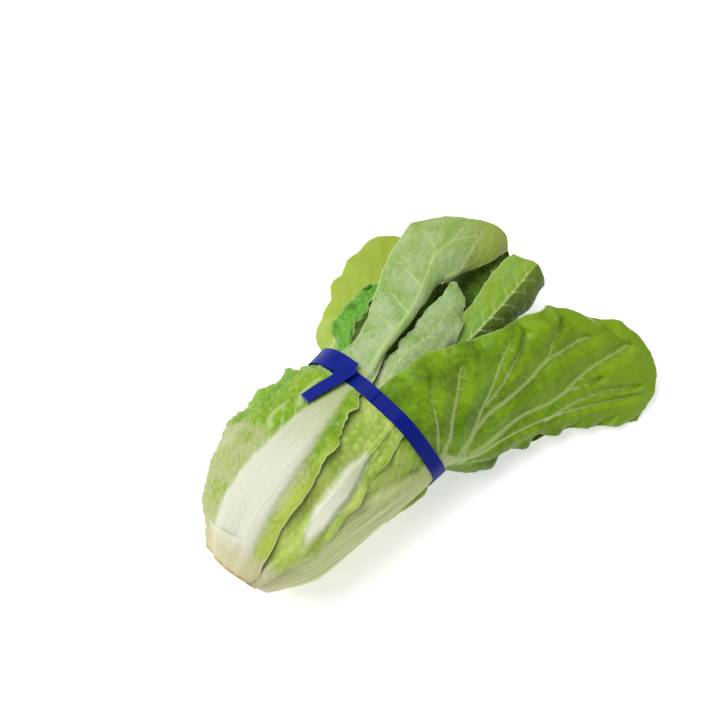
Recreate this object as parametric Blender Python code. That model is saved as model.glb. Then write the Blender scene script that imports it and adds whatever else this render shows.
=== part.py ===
"""A head of bok choy lying on its side, held round the middle by a flat tape.

The head's own frame is used throughout, in metres: X runs from the cut end to the leaf tips, Y to the left
and Z up. X = 0 on the cut face and Z = 0 on the surface that the head lies on. Angles round the head are in
degrees: 0 faces up, 90 faces left, -90 faces right and 180 faces the surface. A leaf's left and right are as
seen from outside with its tip up, so left is towards larger angles.

Below the tape every leaf lies on the ones inside it. A field holds how far the packed head reaches, and each
leaf rests on the field and then adds its own thickness to it. Above the tape a leaf goes its own way, through
stations.
"""

import math
from dataclasses import dataclass

import bmesh
import bpy
import numpy as np

REST_X = 0.078  # the flat spot that the head rests on, which becomes the origin
REST_PRESS = 0.0007  # whatever comes this near the surface is pressed flat against it
AXIS_HEIGHT = 0.0490  # the head's axis above the surface
AXIS_KNOTS = (0.0, 0.020, 0.040, 0.060, 0.080, 0.100, 0.120, 0.140)
AXIS_SIDE = (-0.0045, 0.0007, 0.0045, 0.0065, 0.0062, 0.0043, 0.0015, 0.0)  # the head is bent a little

HEAD_KNOTS = (0.0, 0.010, 0.030, 0.060, 0.090, 0.120, 0.145, 0.190)
HEAD_RADIUS = (0.023, 0.034, 0.0465, 0.053, 0.055, 0.054, 0.053, 0.053)  # turns widths into angles
CORE_KNOTS = (0.0, 0.012, 0.020, 0.035, 0.060, 0.090, 0.120, 0.145, 0.165, 0.180)
CORE_HALF_WIDTH = (0.0195, 0.0275, 0.0336, 0.0430, 0.0498, 0.0522, 0.0520, 0.0490, 0.0390, 0.0160)
CORE_FLATNESS = 0.78  # the core's height over its width
CORE_START = 0.0145
CORE_END = 0.1800
CORE_ROWS = 15
CORE_SIDES = 28
BUTT_START, BUTT_END = -0.0020, 0.0140
BUTT_ROWS = 4
CUT_LEAN = 0.38  # the cut face leans back by this share of the height above the axis
CUT_TURN = 0.12  # and its right side by this share of the distance from the middle
LEAN_REACH = 0.060  # how far up the head the lean fades out
FOOT_TUCK = 0.24  # the head rounds off towards the cut, by up to this share
TUCK_START, TUCK_REACH = -0.0045, 0.030

FIELD_LENGTH = 0.150
FIELD_STEP = 0.0015
FIELD_TURN = 2.0
SETTLE_REACH = 3  # field cells that a leaf bridges rather than dips into
LEAF_GAP = 0.0008

BLADE = 0.0009
STALK_EDGE = (0.45, 1.10)  # from full thickness to the blade, in shares of the stalk's half width
FREE_STALK = 0.006  # half width of the midrib past the tape
SHELL_END = 0.1415  # leaves are free from here on, just past the tape
SHELL_ROWS = (0.010, 0.020, 0.034, 0.050, 0.068, 0.088, 0.108, 0.126)
ROW_ROOM = 0.004  # rows nearer than this to a leaf's foot or end are left out
SHELL_WAVE = 0.034  # length of a wave along a margin that lies on the head
RUFFLED_FROM, RUFFLED_TO = (0.02, 0.06), (0.126, 0.112)  # each rises from the first x to the second
SIDE_PHASE = 1.5  # the two margins of a leaf don't wave in step

TAPE_X = 0.1350
TAPE_WIDTH = 0.0102
ARCH_WIDTH = 0.0138  # where its end comes over the loop the tape is folded wider
TAPE_THICKNESS = 0.0007
TAPE_GAP = 0.0008
TAPE_SIDES = 72
STRIP_ROWS = 9
HEART_BLADE_THICKNESS = 0.0012
CREASE_ANGLE = 50


@dataclass
class Leaf:
    """One leaf. Below the tape facing, left, right, petiole and rib are (x, value) pairs: the angle that it
    faces, its half widths, the half width of its thick white stalk and the thickness there. Past the tape it
    runs through its stations, each (x, y, z, facing, left, right, bend left, bend right), where a bend is the
    angle in degrees that a half blade turns through from its rib to its margin."""

    name: str
    colour: str
    stations: tuple = ()
    start: float = -0.0015
    end: float = SHELL_END
    facing: tuple = ()
    left: tuple = ()
    right: tuple = ()
    petiole: tuple = ()
    rib: tuple = ()
    skew: float = 0.0  # how much further its end reaches on the right
    tip: tuple = ((-1, 0.016), (0, 0), (1, 0.016))  # how far each place across stays behind at a free tip
    ruffle: float = 0.0  # on the head
    free_ruffle: float = 0.0035
    waves: float = 5.0
    phase: float = 0.0
    rows: int = 11
    columns: int = 10
    shell_rows: tuple = SHELL_ROWS
    on_surface: bool = False


LEAVES = [
    Leaf(
        "leaf_pointed",
        "pale",
        start=0.036,
        facing=[(0, -2), (0.14, 5)],
        left=[(0.04, 0.022), (0.08, 0.030), (0.14, 0.011)],
        right=[(0.04, 0.022), (0.08, 0.030), (0.14, 0.009)],
        petiole=[(0, 0.012), (0.14, 0.006)],
        rib=[(0.04, 0.0020), (0.14, 0.0018)],
        stations=[
            (0.170, 0.009, 0.0905, 0, 0.008, 0.015, 30, 36),
            (0.196, 0.007, 0.0855, -6, 0.014, 0.019, 24, 31),
            (0.216, 0.012, 0.0800, -8, 0.011, 0.012, 16, 20),
            (0.236, 0.024, 0.0730, -8, 0.002, 0.003, 10, 10),
        ],
        tip=((-1, 0.001), (0, 0), (1, 0.001)),
        free_ruffle=0.0012,
        phase=0.6,
        rows=8,
        columns=8,
    ),
    Leaf(
        "leaf_folded",
        "mid",
        start=0.036,
        facing=[(0, -34), (0.14, -26)],
        left=[(0.04, 0.020), (0.08, 0.030), (0.14, 0.016)],
        right=[(0.04, 0.022), (0.08, 0.034), (0.14, 0.022)],
        petiole=[(0, 0.012), (0.14, 0.006)],
        rib=[(0.04, 0.0020), (0.14, 0.0018)],
        stations=[
            (0.172, -0.010, 0.081, -12, 0.008, 0.014, 20, 60),
            (0.205, -0.011, 0.0748, -6, 0.012, 0.020, 12, 105),
            (0.235, -0.010, 0.071, -6, 0.017, 0.022, 8, 105),
            (0.261, -0.007, 0.064, -6, 0.019, 0.021, 8, 95),
            (0.287, -0.003, 0.056, -6, 0.016, 0.016, 12, 60),
        ],
        tip=((-1, 0.006), (0, 0), (1, 0.004)),
        free_ruffle=0.0012,
        phase=1.4,
        rows=10,
        columns=8,
    ),
    Leaf(
        "leaf_left",
        "yellow",
        facing=[(0, 104), (0.05, 100), (0.10, 92), (0.14, 80)],
        left=[(0, 0.014), (0.02, 0.030), (0.05, 0.044), (0.10, 0.046), (0.14, 0.036)],
        right=[(0, 0.014), (0.02, 0.028), (0.05, 0.040), (0.10, 0.040), (0.14, 0.034)],
        petiole=[(0, 0.016), (0.03, 0.024), (0.07, 0.020), (0.14, 0.007)],
        rib=[(0, 0.0028), (0.03, 0.0052), (0.08, 0.0046), (0.14, 0.0026)],
        stations=[
            (0.162, 0.056, 0.0595, 44, 0.030, 0.018, 6, 20),
            (0.177, 0.059, 0.0570, 34, 0.026, 0.018, 6, 18),
            (0.192, 0.062, 0.0535, 26, 0.031, 0.018, 4, 12),
            (0.216, 0.066, 0.048, 16, 0.030, 0.020, 2, 10),
            (0.247, 0.070, 0.042, 10, 0.022, 0.016, 2, 8),
        ],
        tip=((-1, 0.010), (0, 0), (0.5, 0.001), (1, 0.009)),
        ruffle=0.0015,
        free_ruffle=0.0014,
        phase=2.1,
    ),
    Leaf(
        "leaf_curled",
        "deep",
        start=0.050,
        facing=[(0.05, 58), (0.10, 52), (0.14, 48)],
        left=[(0.05, 0.014), (0.10, 0.020), (0.14, 0.013)],
        right=[(0.05, 0.014), (0.10, 0.020), (0.14, 0.012)],
        petiole=[(0.05, 0.008), (0.14, 0.004)],
        rib=[(0.05, 0.0030), (0.14, 0.0022)],
        stations=[
            (0.163, 0.051, 0.0765, 36, 0.012, 0.005, -50, -20),
            (0.182, 0.054, 0.0720, 30, 0.011, 0.005, -60, -30),
            (0.203, 0.060, 0.0680, 26, 0.006, 0.005, -60, -30),
        ],
        tip=((-1, 0.003), (0, 0), (1, 0.003)),
        free_ruffle=0.0022,
        waves=3.0,
        phase=0.3,
        rows=6,
        columns=6,
    ),
    Leaf(
        "leaf_right",
        "green",
        facing=[(0, -62), (0.04, -68), (0.10, -76), (0.14, -79)],
        left=[(0, 0.016), (0.02, 0.032), (0.05, 0.052), (0.10, 0.070), (0.14, 0.078)],
        right=[(0, 0.014), (0.02, 0.026), (0.05, 0.029), (0.10, 0.029), (0.14, 0.032)],
        petiole=[(0, 0.018), (0.03, 0.027), (0.07, 0.023), (0.14, 0.009)],
        rib=[(0, 0.0030), (0.03, 0.0058), (0.08, 0.0052), (0.14, 0.0034)],
        stations=[
            (0.165, -0.060, 0.042, -60, 0.080, 0.025, 42, 40),
            (0.190, -0.065, 0.036, -57, 0.074, 0.018, 36, 25),
            (0.216, -0.073, 0.030, -53, 0.071, 0.015, 28, 8),
            (0.240, -0.084, 0.024, -47, 0.074, 0.015, 20, -6),
            (0.264, -0.097, 0.017, -41, 0.058, 0.018, 14, -10),
            (0.291, -0.114, 0.010, -36, 0.046, 0.016, 10, -8),
        ],
        tip=((-1, 0.020), (-0.5, 0.010), (0, 0.004), (0.5, 0), (0.75, 0.004), (1, 0.016)),
        free_ruffle=0.0032,
        waves=6.0,
        phase=0.9,
        rows=14,
        columns=12,
    ),
    Leaf(
        "leaf_under_left",
        "green",
        facing=[(0, 150), (0.05, 146), (0.14, 142)],
        left=[(0, 0.014), (0.02, 0.028), (0.05, 0.040), (0.14, 0.032)],
        right=[(0, 0.014), (0.02, 0.028), (0.05, 0.038), (0.14, 0.026)],
        petiole=[(0, 0.014), (0.03, 0.020), (0.07, 0.017), (0.14, 0.006)],
        rib=[(0, 0.0026), (0.03, 0.0044), (0.08, 0.0038), (0.14, 0.0022)],
        stations=[
            (0.168, 0.038, 0.0125, 165, 0.030, 0.032, 12, 16),
            (0.198, 0.045, 0.0080, 178, 0.032, 0.034, 2, 2),
            (0.226, 0.051, 0.0070, 183, 0.030, 0.031, 0, -2),
            (0.250, 0.056, 0.0065, 184, 0.018, 0.018, 0, -2),
        ],
        free_ruffle=0.0012,
        phase=3.0,
        rows=9,
        columns=8,
    ),
    Leaf(
        "leaf_under_right",
        "green",
        facing=[(0, -136), (0.05, -140), (0.14, -140)],
        left=[(0, 0.008), (0.02, 0.014), (0.05, 0.022), (0.10, 0.022), (0.14, 0.016)],
        right=[(0, 0.014), (0.02, 0.028), (0.05, 0.040), (0.14, 0.032)],
        petiole=[(0, 0.014), (0.03, 0.020), (0.07, 0.017), (0.14, 0.006)],
        rib=[(0, 0.0026), (0.03, 0.0044), (0.08, 0.0038), (0.14, 0.0022)],
        stations=[
            (0.168, -0.034, 0.0120, -165, 0.018, 0.028, 14, 12),
            (0.196, -0.042, 0.0078, -178, 0.020, 0.032, 2, 2),
            (0.222, -0.056, 0.0062, -183, 0.022, 0.030, -2, 0),
            (0.244, -0.070, 0.0056, -184, 0.014, 0.018, -2, 0),
        ],
        free_ruffle=0.0010,
        phase=4.0,
        rows=9,
        columns=8,
    ),
    Leaf(
        "leaf_under",
        "green",
        facing=[(0, -172), (0.14, -178)],
        left=[(0, 0.014), (0.02, 0.028), (0.05, 0.040), (0.14, 0.034)],
        right=[(0, 0.014), (0.02, 0.028), (0.05, 0.040), (0.14, 0.034)],
        petiole=[(0, 0.016), (0.03, 0.024), (0.07, 0.020), (0.14, 0.007)],
        rib=[(0, 0.0028), (0.03, 0.0050), (0.08, 0.0046), (0.14, 0.0026)],
        stations=[
            (0.168, -0.003, 0.0040, -179, 0.034, 0.034, 6, 6),
            (0.200, -0.006, 0.0020, -180, 0.036, 0.036, 0, 0),
            (0.232, -0.009, 0.0014, -180, 0.034, 0.034, 0, 0),
            (0.262, -0.011, 0.0012, -180, 0.020, 0.020, 0, 0),
        ],
        free_ruffle=0.0004,
        phase=5.0,
        rows=9,
        columns=8,
        on_surface=True,
    ),
    Leaf(
        "leaf_short",
        "light",
        end=0.134,
        facing=[(0, -42), (0.035, -42), (0.057, -39), (0.075, -37), (0.09, -33), (0.11, -28), (0.134, -22)],
        left=[(0, 0.012), (0.02, 0.022), (0.05, 0.026), (0.10, 0.032), (0.134, 0.034)],
        right=[(0, 0.006), (0.03, 0.0095), (0.05, 0.0120), (0.08, 0.0145), (0.11, 0.0125), (0.134, 0.0115)],
        petiole=[
            (0, 0.005),
            (0.035, 0.0055),
            (0.045, 0.0084),
            (0.075, 0.0082),
            (0.088, 0.0060),
            (0.098, 0.0022),
        ],
        rib=[(0, 0.0026), (0.03, 0.0044), (0.08, 0.0038), (0.134, 0.0016)],
        ruffle=0.0022,
        phase=1.1,
        columns=8,
    ),
    Leaf(
        "leaf_front",
        "pale",
        facing=[(0, 18), (0.035, 13), (0.066, 12), (0.10, 17), (0.125, 21), (0.14, 22)],
        left=[
            (0, 0.024),
            (0.01, 0.036),
            (0.02, 0.046),
            (0.05, 0.060),
            (0.09, 0.064),
            (0.12, 0.052),
            (0.14, 0.030),
        ],
        right=[
            (0, 0.021),
            (0.005, 0.026),
            (0.018, 0.030),
            (0.05, 0.030),
            (0.09, 0.026),
            (0.106, 0.020),
            (0.125, 0.014),
            (0.14, 0.009),
        ],
        petiole=[(0, 0.020), (0.03, 0.0245), (0.066, 0.0205), (0.10, 0.0165), (0.123, 0.0095), (0.14, 0.006)],
        rib=[(0, 0.0030), (0.03, 0.0068), (0.08, 0.0060), (0.14, 0.0030)],
        stations=[
            (0.168, 0.022, 0.0940, 15, 0.023, 0.004, 22, 110),
            (0.196, 0.027, 0.0885, 12, 0.029, 0.006, 18, 110),
            (0.224, 0.038, 0.0805, 6, 0.030, 0.012, 14, 70),
            (0.246, 0.050, 0.0715, 0, 0.025, 0.036, 10, 50),
            (0.275, 0.066, 0.0590, -4, 0.014, 0.060, 8, 34),
        ],
        tip=((-1, 0.014), (-0.75, 0.004), (-0.5, 0), (-0.25, 0.003), (0, 0.007), (0.5, 0.012), (1, 0.020)),
        ruffle=0.0036,
        free_ruffle=0.0010,
        phase=0.2,
        rows=13,
        columns=12,
    ),
    Leaf(
        "leaf_stub",
        "cream",
        start=-0.0018,
        end=0.0135,
        facing=[(0, 16), (0.02, 16)],
        left=[(0, 0.021), (0.014, 0.034)],
        right=[(0, 0.010), (0.012, 0.0125), (0.018, 0.0105)],
        petiole=[(0, 0.030), (0.02, 0.030)],
        rib=[(0, 0.0016), (0.02, 0.0010)],
        skew=0.0032,
        columns=6,
        shell_rows=(0.007, 0.012),
    ),
]

# The blades that stand out of the packed core above the tape, each with its foot sunk in the core.
HEART_BLADES = [
    Leaf(
        "heart_upper_left",
        "deep",
        stations=[
            (0.135, 0.020, 0.064, 20, 0.008, 0.008, 30, 30),
            (0.165, 0.026, 0.062, 15, 0.015, 0.013, 20, 20),
            (0.200, 0.032, 0.052, 8, 0.022, 0.014, 14, 14),
            (0.238, 0.038, 0.040, 4, 0.014, 0.012, 10, 10),
        ],
    ),
    Leaf(
        "heart_upper",
        "deep",
        stations=[
            (0.135, -0.004, 0.070, 0, 0.008, 0.008, 20, 20),
            (0.165, -0.004, 0.070, -2, 0.014, 0.014, 20, 20),
            (0.205, 0.000, 0.060, -2, 0.018, 0.018, 16, 16),
            (0.248, 0.010, 0.048, -2, 0.026, 0.018, 10, 10),
            (0.270, 0.018, 0.043, -2, 0.024, 0.016, 8, 8),
            (0.286, 0.022, 0.039, -2, 0.014, 0.010, 6, 6),
        ],
        phase=1.0,
    ),
    Leaf(
        "heart_right",
        "deep",
        stations=[
            (0.135, -0.024, 0.054, -50, 0.008, 0.008, 20, 20),
            (0.165, -0.034, 0.050, -42, 0.014, 0.014, 14, 14),
            (0.205, -0.044, 0.040, -34, 0.018, 0.016, 10, 10),
            (0.245, -0.052, 0.030, -28, 0.012, 0.012, 6, 6),
        ],
        phase=2.0,
    ),
    Leaf(
        "heart_lower_left",
        "deep",
        stations=[
            (0.135, 0.018, 0.034, 140, 0.010, 0.010, 20, 20),
            (0.165, 0.028, 0.030, 140, 0.018, 0.020, 16, 16),
            (0.205, 0.040, 0.024, 152, 0.024, 0.026, 8, 8),
            (0.242, 0.050, 0.020, 162, 0.014, 0.014, 4, 4),
        ],
        phase=3.0,
    ),
    Leaf(
        "heart_lower_right",
        "deep",
        stations=[
            (0.135, -0.014, 0.032, -150, 0.010, 0.010, 20, 20),
            (0.165, -0.016, 0.026, -155, 0.018, 0.018, 12, 12),
            (0.205, -0.022, 0.020, -162, 0.024, 0.024, 6, 6),
            (0.245, -0.028, 0.016, -168, 0.014, 0.014, 2, 2),
        ],
        phase=4.0,
    ),
]
HEART_BLADE_ROWS = 7
HEART_BLADE_COLUMNS = 6

# The tape's end comes over the loop in a low arch and folds back towards the cut end: (x, angle, rise).
TAPE_ARCH = [
    (0.1345, 74, -0.0004),
    (0.1352, 63, 0.0014),
    (0.1366, 51, 0.0022),
    (0.1374, 39, 0.0022),
    (0.1378, 27, 0.0010),
]
TAPE_TAIL = [
    (0.1405, 27, 0.0016),
    (0.1320, 28, 0.0028),
    (0.1220, 30, 0.0032),
    (0.1125, 32, 0.0028),
    (0.1030, 33, 0.0024),
]

COLOURS = {
    "pale": (0.42, 0.56, 0.22),
    "light": (0.38, 0.53, 0.14),
    "mid": (0.24, 0.40, 0.09),
    "green": (0.12, 0.24, 0.02),
    "deep": (0.07, 0.17, 0.02),
    "yellow": (0.36, 0.46, 0.08),
    "cream": (0.70, 0.66, 0.44),
    "cut": (0.60, 0.47, 0.28),
    "blue": (0.008, 0.014, 0.26),
}


def smoothstep(low, high, value):
    t = np.clip((np.asarray(value, float) - low) / (high - low), 0, 1)
    return t * t * (3 - 2 * t)


def through(knots, values, at):
    """Values read off a smooth curve through the knots, held level past both ends."""
    knots, values = np.asarray(knots, float), np.asarray(values, float)
    at = np.clip(np.asarray(at, float), knots[0], knots[-1])
    slopes = np.gradient(values, knots, axis=0)
    i = np.clip(np.searchsorted(knots, at, side="right") - 1, 0, len(knots) - 2)
    span = knots[i + 1] - knots[i]
    t = (at - knots[i]) / span
    more = (...,) + (None,) * (values.ndim - 1)
    t, span = t[more], span[more]
    near = values[i] * (1 + 2 * t) * (1 - t) ** 2 + slopes[i] * span * t * (1 - t) ** 2
    return near + values[i + 1] * t**2 * (3 - 2 * t) + slopes[i + 1] * span * t**2 * (t - 1)


def read(pairs, x):
    """A leaf's measure at x, from its (x, value) pairs."""
    knots, values = zip(*pairs)
    return np.interp(x, knots, values)


def polar(x, angle, radius):
    """The point at that angle and distance from the head's axis."""
    turned = np.radians(angle)
    radius = radius * (1 - FOOT_TUCK * np.clip(1 - (np.asarray(x) - TUCK_START) / TUCK_REACH, 0, 1) ** 2.5)
    side, up = radius * np.sin(turned), radius * np.cos(turned)
    back = CUT_TURN * np.maximum(-side, 0) - CUT_LEAN * up
    x_back = x + back * np.clip(1 - np.asarray(x) / LEAN_REACH, 0, 1) ** 2
    y = through(AXIS_KNOTS, AXIS_SIDE, x) + side
    return np.stack(np.broadcast_arrays(x_back, y, AXIS_HEIGHT + up), axis=-1)


def core_radius(x, angle):
    """The packed core is an ellipse across, lower than it is wide."""
    turned = np.radians(angle)
    stretch = np.sqrt(np.sin(turned) ** 2 + (np.cos(turned) / CORE_FLATNESS) ** 2)
    return through(CORE_KNOTS, CORE_HALF_WIDTH, x) / stretch


def field_grid():
    x = np.arange(0, FIELD_LENGTH + FIELD_STEP / 2, FIELD_STEP)
    angle = np.arange(-180, 180, FIELD_TURN)
    return np.meshgrid(x, angle, indexing="ij")


def shifted(field, along, around):
    """The field moved by whole cells: round the head it wraps, and along it the end rows repeat."""
    rows = np.clip(np.arange(len(field)) - along, 0, len(field) - 1)
    return np.roll(field[rows], around, axis=1)


def settled(field):
    """The surface that a leaf takes on the field: it bridges dips and steps, and never goes below them."""
    steps = range(-SETTLE_REACH, SETTLE_REACH + 1)
    high = np.max([shifted(field, 0, k) for k in steps], axis=0)
    high = np.max([shifted(high, k, 0) for k in steps], axis=0)
    even = np.mean([shifted(high, 0, k) for k in steps], axis=0)
    return np.mean([shifted(even, k, 0) for k in steps], axis=0) + LEAF_GAP


def look_up(field, x, angle):
    """The field between its cells."""
    last = len(field) - 2
    along, around = np.asarray(x) / FIELD_STEP, np.mod(np.asarray(angle) + 180, 360) / FIELD_TURN
    i, j = np.clip(along.astype(int), 0, last), around.astype(int) % field.shape[1]
    k = (j + 1) % field.shape[1]
    p, q = np.clip(along - i, 0, 1), around - np.floor(around)
    near = field[i, j] * (1 - q) + field[i, k] * q
    far = field[i + 1, j] * (1 - q) + field[i + 1, k] * q
    return near * (1 - p) + far * p


def half_width(leaf, x, v):
    return np.where(v > 0, read(leaf.left, x), read(leaf.right, x))


def ruffle_lift(leaf, x, v):
    """How far a ruffled margin stands off what it lies on."""
    stretch = smoothstep(*RUFFLED_FROM, x) * smoothstep(*RUFFLED_TO, x)
    wave = np.sin(2 * math.pi * np.asarray(x) / SHELL_WAVE + leaf.phase + SIDE_PHASE * np.sign(v))
    return leaf.ruffle * smoothstep(0.62, 1.0, np.abs(v)) * stretch * (0.5 + 0.5 * wave)


def thickness(leaf, x, distance):
    """A leaf is a thin blade on both sides of a thick stalk."""
    stalk = 1 - smoothstep(*STALK_EDGE, distance / read(leaf.petiole, x))
    return BLADE + (read(leaf.rib, x) - BLADE) * stalk


def shell_faces(leaf, rest, x, v):
    """Inner and outer points of the part of a leaf that lies on the packed head."""
    reach = half_width(leaf, x, v)
    angle = read(leaf.facing, x) + np.degrees(v * reach / through(HEAD_KNOTS, HEAD_RADIUS, x))
    low = look_up(rest, x, angle) + ruffle_lift(leaf, x, v)
    high = low + thickness(leaf, x, np.abs(v) * reach)
    return polar(x, angle, low), polar(x, angle, high)


def add_to_field(leaf, field, rest):
    """The field once the leaf lies on it."""
    x, angle = field_grid()
    off = np.mod(angle - read(leaf.facing, x) + 180, 360) - 180
    reach = half_width(leaf, x, off)
    share = np.radians(off) * through(HEAD_KNOTS, HEAD_RADIUS, x) / reach
    v = np.clip(share, -1, 1)
    covered = (np.abs(share) < 1.03) & (x > leaf.start - FIELD_STEP) & (x < leaf.end + 2 * FIELD_STEP)
    top = rest + ruffle_lift(leaf, x, v) + thickness(leaf, x, np.abs(v) * reach)
    return np.where(covered, np.maximum(field, top), field)


def unit(vectors):
    return vectors / np.linalg.norm(vectors, axis=-1, keepdims=True)


def bow(width, bend, v):
    """Sideways and outward run at a share v of a half blade of that width that turns through the bend."""
    turn = np.radians(np.where(np.abs(bend) < 0.5, 0.5, bend))
    return width * np.sin(turn * v) / turn, -width * (1 - np.cos(turn * v)) / turn


def station_rows(stations, v):
    """Each station's row of points across the leaf."""
    data = np.array(stations)
    ribs, up = data[:, :3], np.array((0, 0, 1))
    side = np.cross(up, unit(np.gradient(ribs, axis=0) * (1, 1, 0)))
    rows = []
    for rib, level, (facing, left, right, bend_left, bend_right) in zip(ribs, side, data[:, 3:]):
        turned = math.radians(facing)
        across = level * math.cos(turned) - up * math.sin(turned)
        outward = level * math.sin(turned) + up * math.cos(turned)
        run, rise = bow(np.where(v > 0, left, right), np.where(v > 0, bend_left, bend_right), np.abs(v))
        rows.append(rib + np.outer(run * np.sign(v), across) + np.outer(rise, outward))
    return np.array(rows)


def grid_normals(points):
    """Outward normals of a grid of points, with rows that run along a leaf and columns from right to left."""
    return unit(np.cross(np.gradient(points, axis=0), np.gradient(points, axis=1)))


def free_rows(leaf, lead, v, count):
    """Rows along a leaf's free part and how far along each is. They run on smoothly from the last rows below
    the tape, the lead, through the stations to a rounded tip."""
    control = np.concatenate([lead, station_rows(leaf.stations, v)])
    rib = control[:, np.abs(v).argmin()]
    knots = np.concatenate([[0], np.cumsum(np.linalg.norm(np.diff(rib, axis=0), axis=1))])
    first = knots[max(len(lead) - 1, 0)]
    share = np.linspace(0, 1, count + 1)[1:]
    lag = smoothstep(0.35, 1.0, share)[:, None] * through(*zip(*leaf.tip), v)
    places = first + share[:, None] * (knots[-1] - first) - lag
    rows = np.stack([through(knots, control[:, k], places[:, k]) for k in range(len(v))], axis=1)
    wave = np.sin(2 * math.pi * leaf.waves * share[:, None] + leaf.phase + SIDE_PHASE * np.sign(v))
    margin = smoothstep(0.5, 1.0, np.abs(v)) * smoothstep(0.0, 0.35, share)[:, None]
    return rows + grid_normals(rows) * (leaf.free_ruffle * wave * margin)[..., None], share


def laid_flat(inner, outer):
    """A leaf pressed flat where it meets the surface that the head lies on."""
    inner, outer = inner.copy(), outer.copy()
    pressed = outer[..., 2] < REST_PRESS
    outer[pressed, 2] = 0
    inner[pressed, 2] = np.maximum(inner[pressed, 2], BLADE)
    return inner, outer


def leaf_faces(leaf, rest):
    """Inner and outer grids of a whole leaf, from its foot to its tip."""
    v = np.linspace(-1, 1, leaf.columns + 1)
    inside = [x for x in leaf.shell_rows if leaf.start + ROW_ROOM < x < leaf.end - ROW_ROOM]
    x = np.array([leaf.start, *inside, leaf.end])[:, None]
    x = x - leaf.skew * smoothstep(0.4, 1.0, x / leaf.end) * v
    inner, outer = shell_faces(leaf, rest, x, np.broadcast_to(v, x.shape))
    if not leaf.stations:
        return inner, outer
    free, share = free_rows(leaf, inner[-2:], v, leaf.rows)
    off_rib = np.linalg.norm(free - free[:, [leaf.columns // 2]], axis=2)
    rib = BLADE + (read(leaf.rib, leaf.end) - BLADE) * (1 - share)[:, None]
    depth = BLADE + (rib - BLADE) * np.exp(-((off_rib / FREE_STALK) ** 2))
    joined = np.concatenate([inner, free])
    lifted = free + grid_normals(joined)[len(inner) :] * depth[..., None]
    both = joined, np.concatenate([outer, lifted])
    return laid_flat(*both) if leaf.on_surface else both


def to_mesh(bm, name):
    """The finished mesh in triangles, with its faces outward."""
    bmesh.ops.triangulate(bm, faces=bm.faces[:])
    bmesh.ops.recalc_face_normals(bm, faces=bm.faces[:])
    mesh = bpy.data.meshes.new(name)
    bm.to_mesh(mesh)
    bm.free()
    return mesh


def solid_between(name, inner, outer):
    """One closed solid between two grids of points, split into triangles alike on both."""
    rows, columns = inner.shape[:2]
    bm = bmesh.new()
    order = bm.verts.layers.int.new("order")
    bmesh.ops.create_grid(bm, x_segments=columns - 1, y_segments=rows - 1, size=0.5)
    for vertex in bm.verts:
        row, column = round((vertex.co.y + 0.5) * (rows - 1)), round((vertex.co.x + 0.5) * (columns - 1))
        vertex[order] = row * columns + column
        vertex.co = inner[row, column]
    bmesh.ops.triangulate(bm, faces=bm.faces[:])
    raised = bmesh.ops.extrude_face_region(bm, geom=bm.faces[:], use_keep_orig=True)
    for item in raised["geom"]:
        if isinstance(item, bmesh.types.BMVert):
            item.co = outer[divmod(item[order], columns)]
    return to_mesh(bm, name)


def round_grid(sides, rows, capped):
    """A unit tube along Z with that many rows of points, as the start of a shape round the head's axis."""
    bm = bmesh.new()
    bmesh.ops.create_cone(bm, cap_ends=capped, segments=sides, radius1=1, radius2=1, depth=1)
    lengthwise = [edge for edge in bm.edges if abs(edge.verts[0].co.z - edge.verts[1].co.z) > 0.5]
    bmesh.ops.subdivide_edges(bm, edges=lengthwise, cuts=rows - 2)
    return bm


def lay_round_axis(bm, xs, radius):
    """Moves a round grid's points to their distance from the head's axis."""
    for vertex in bm.verts:
        x = xs[round((vertex.co.z + 0.5) * (len(xs) - 1))]
        angle = math.degrees(math.atan2(vertex.co.x, vertex.co.y))
        vertex.co = polar(x, angle, radius(x, angle, vertex))


def core_piece(name, xs):
    """A stretch of the packed core with flat ends."""
    bm = round_grid(CORE_SIDES, len(xs), capped=True)
    lay_round_axis(bm, xs, lambda x, angle, vertex: core_radius(x, angle))
    return to_mesh(bm, name)


def fused(name, meshes):
    """One mesh of several that run into each other."""
    whole, *others = [bpy.data.objects.new(f"{name}_{k}", mesh) for k, mesh in enumerate(meshes)]
    for obj in (whole, *others):
        bpy.context.scene.collection.objects.link(obj)
    for obj in others:
        union = whole.modifiers.new(obj.name, "BOOLEAN")
        union.operation, union.solver, union.object = "UNION", "EXACT", obj
    depsgraph = bpy.context.evaluated_depsgraph_get()
    mesh = bpy.data.meshes.new_from_object(whole.evaluated_get(depsgraph))
    for obj in (whole, *others):
        bpy.data.objects.remove(obj)
    return mesh


def make_heart():
    """The packed inner leaves as a dense core, with some of their blades standing out of its top."""
    pieces = [core_piece("core", np.linspace(CORE_START, CORE_END, CORE_ROWS))]
    v = np.linspace(-1, 1, HEART_BLADE_COLUMNS + 1)
    for leaf in HEART_BLADES:
        inner, _ = free_rows(leaf, np.empty((0, len(v), 3)), v, HEART_BLADE_ROWS)
        pieces.append(solid_between(leaf.name, inner, inner + HEART_BLADE_THICKNESS * grid_normals(inner)))
    return fused("heart", pieces)


def tight_ring(field):
    """How far off the axis a band lies that is pulled tight round the head, for evenly spaced angles."""
    first, last = ((TAPE_X + side * TAPE_WIDTH / 2) / FIELD_STEP for side in (-1, 1))
    reach = field[round(first) : round(last) + 1].max(axis=0) + TAPE_GAP
    angle, turns = np.radians(field_grid()[1][0]), np.radians(np.arange(TAPE_SIDES) * 360 / TAPE_SIDES)
    points = np.stack([np.sin(angle), np.cos(angle)], axis=1) * reach[:, None]
    facing = np.stack([np.sin(turns), np.cos(turns)], axis=1)
    tangents = (facing @ points.T).max(axis=1)  # each is how far the head reaches in that direction
    met = facing @ facing.T
    nearby = met > 0.3
    return np.where(nearby, tangents / np.where(nearby, met, 1), np.inf).min(axis=1)


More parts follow.
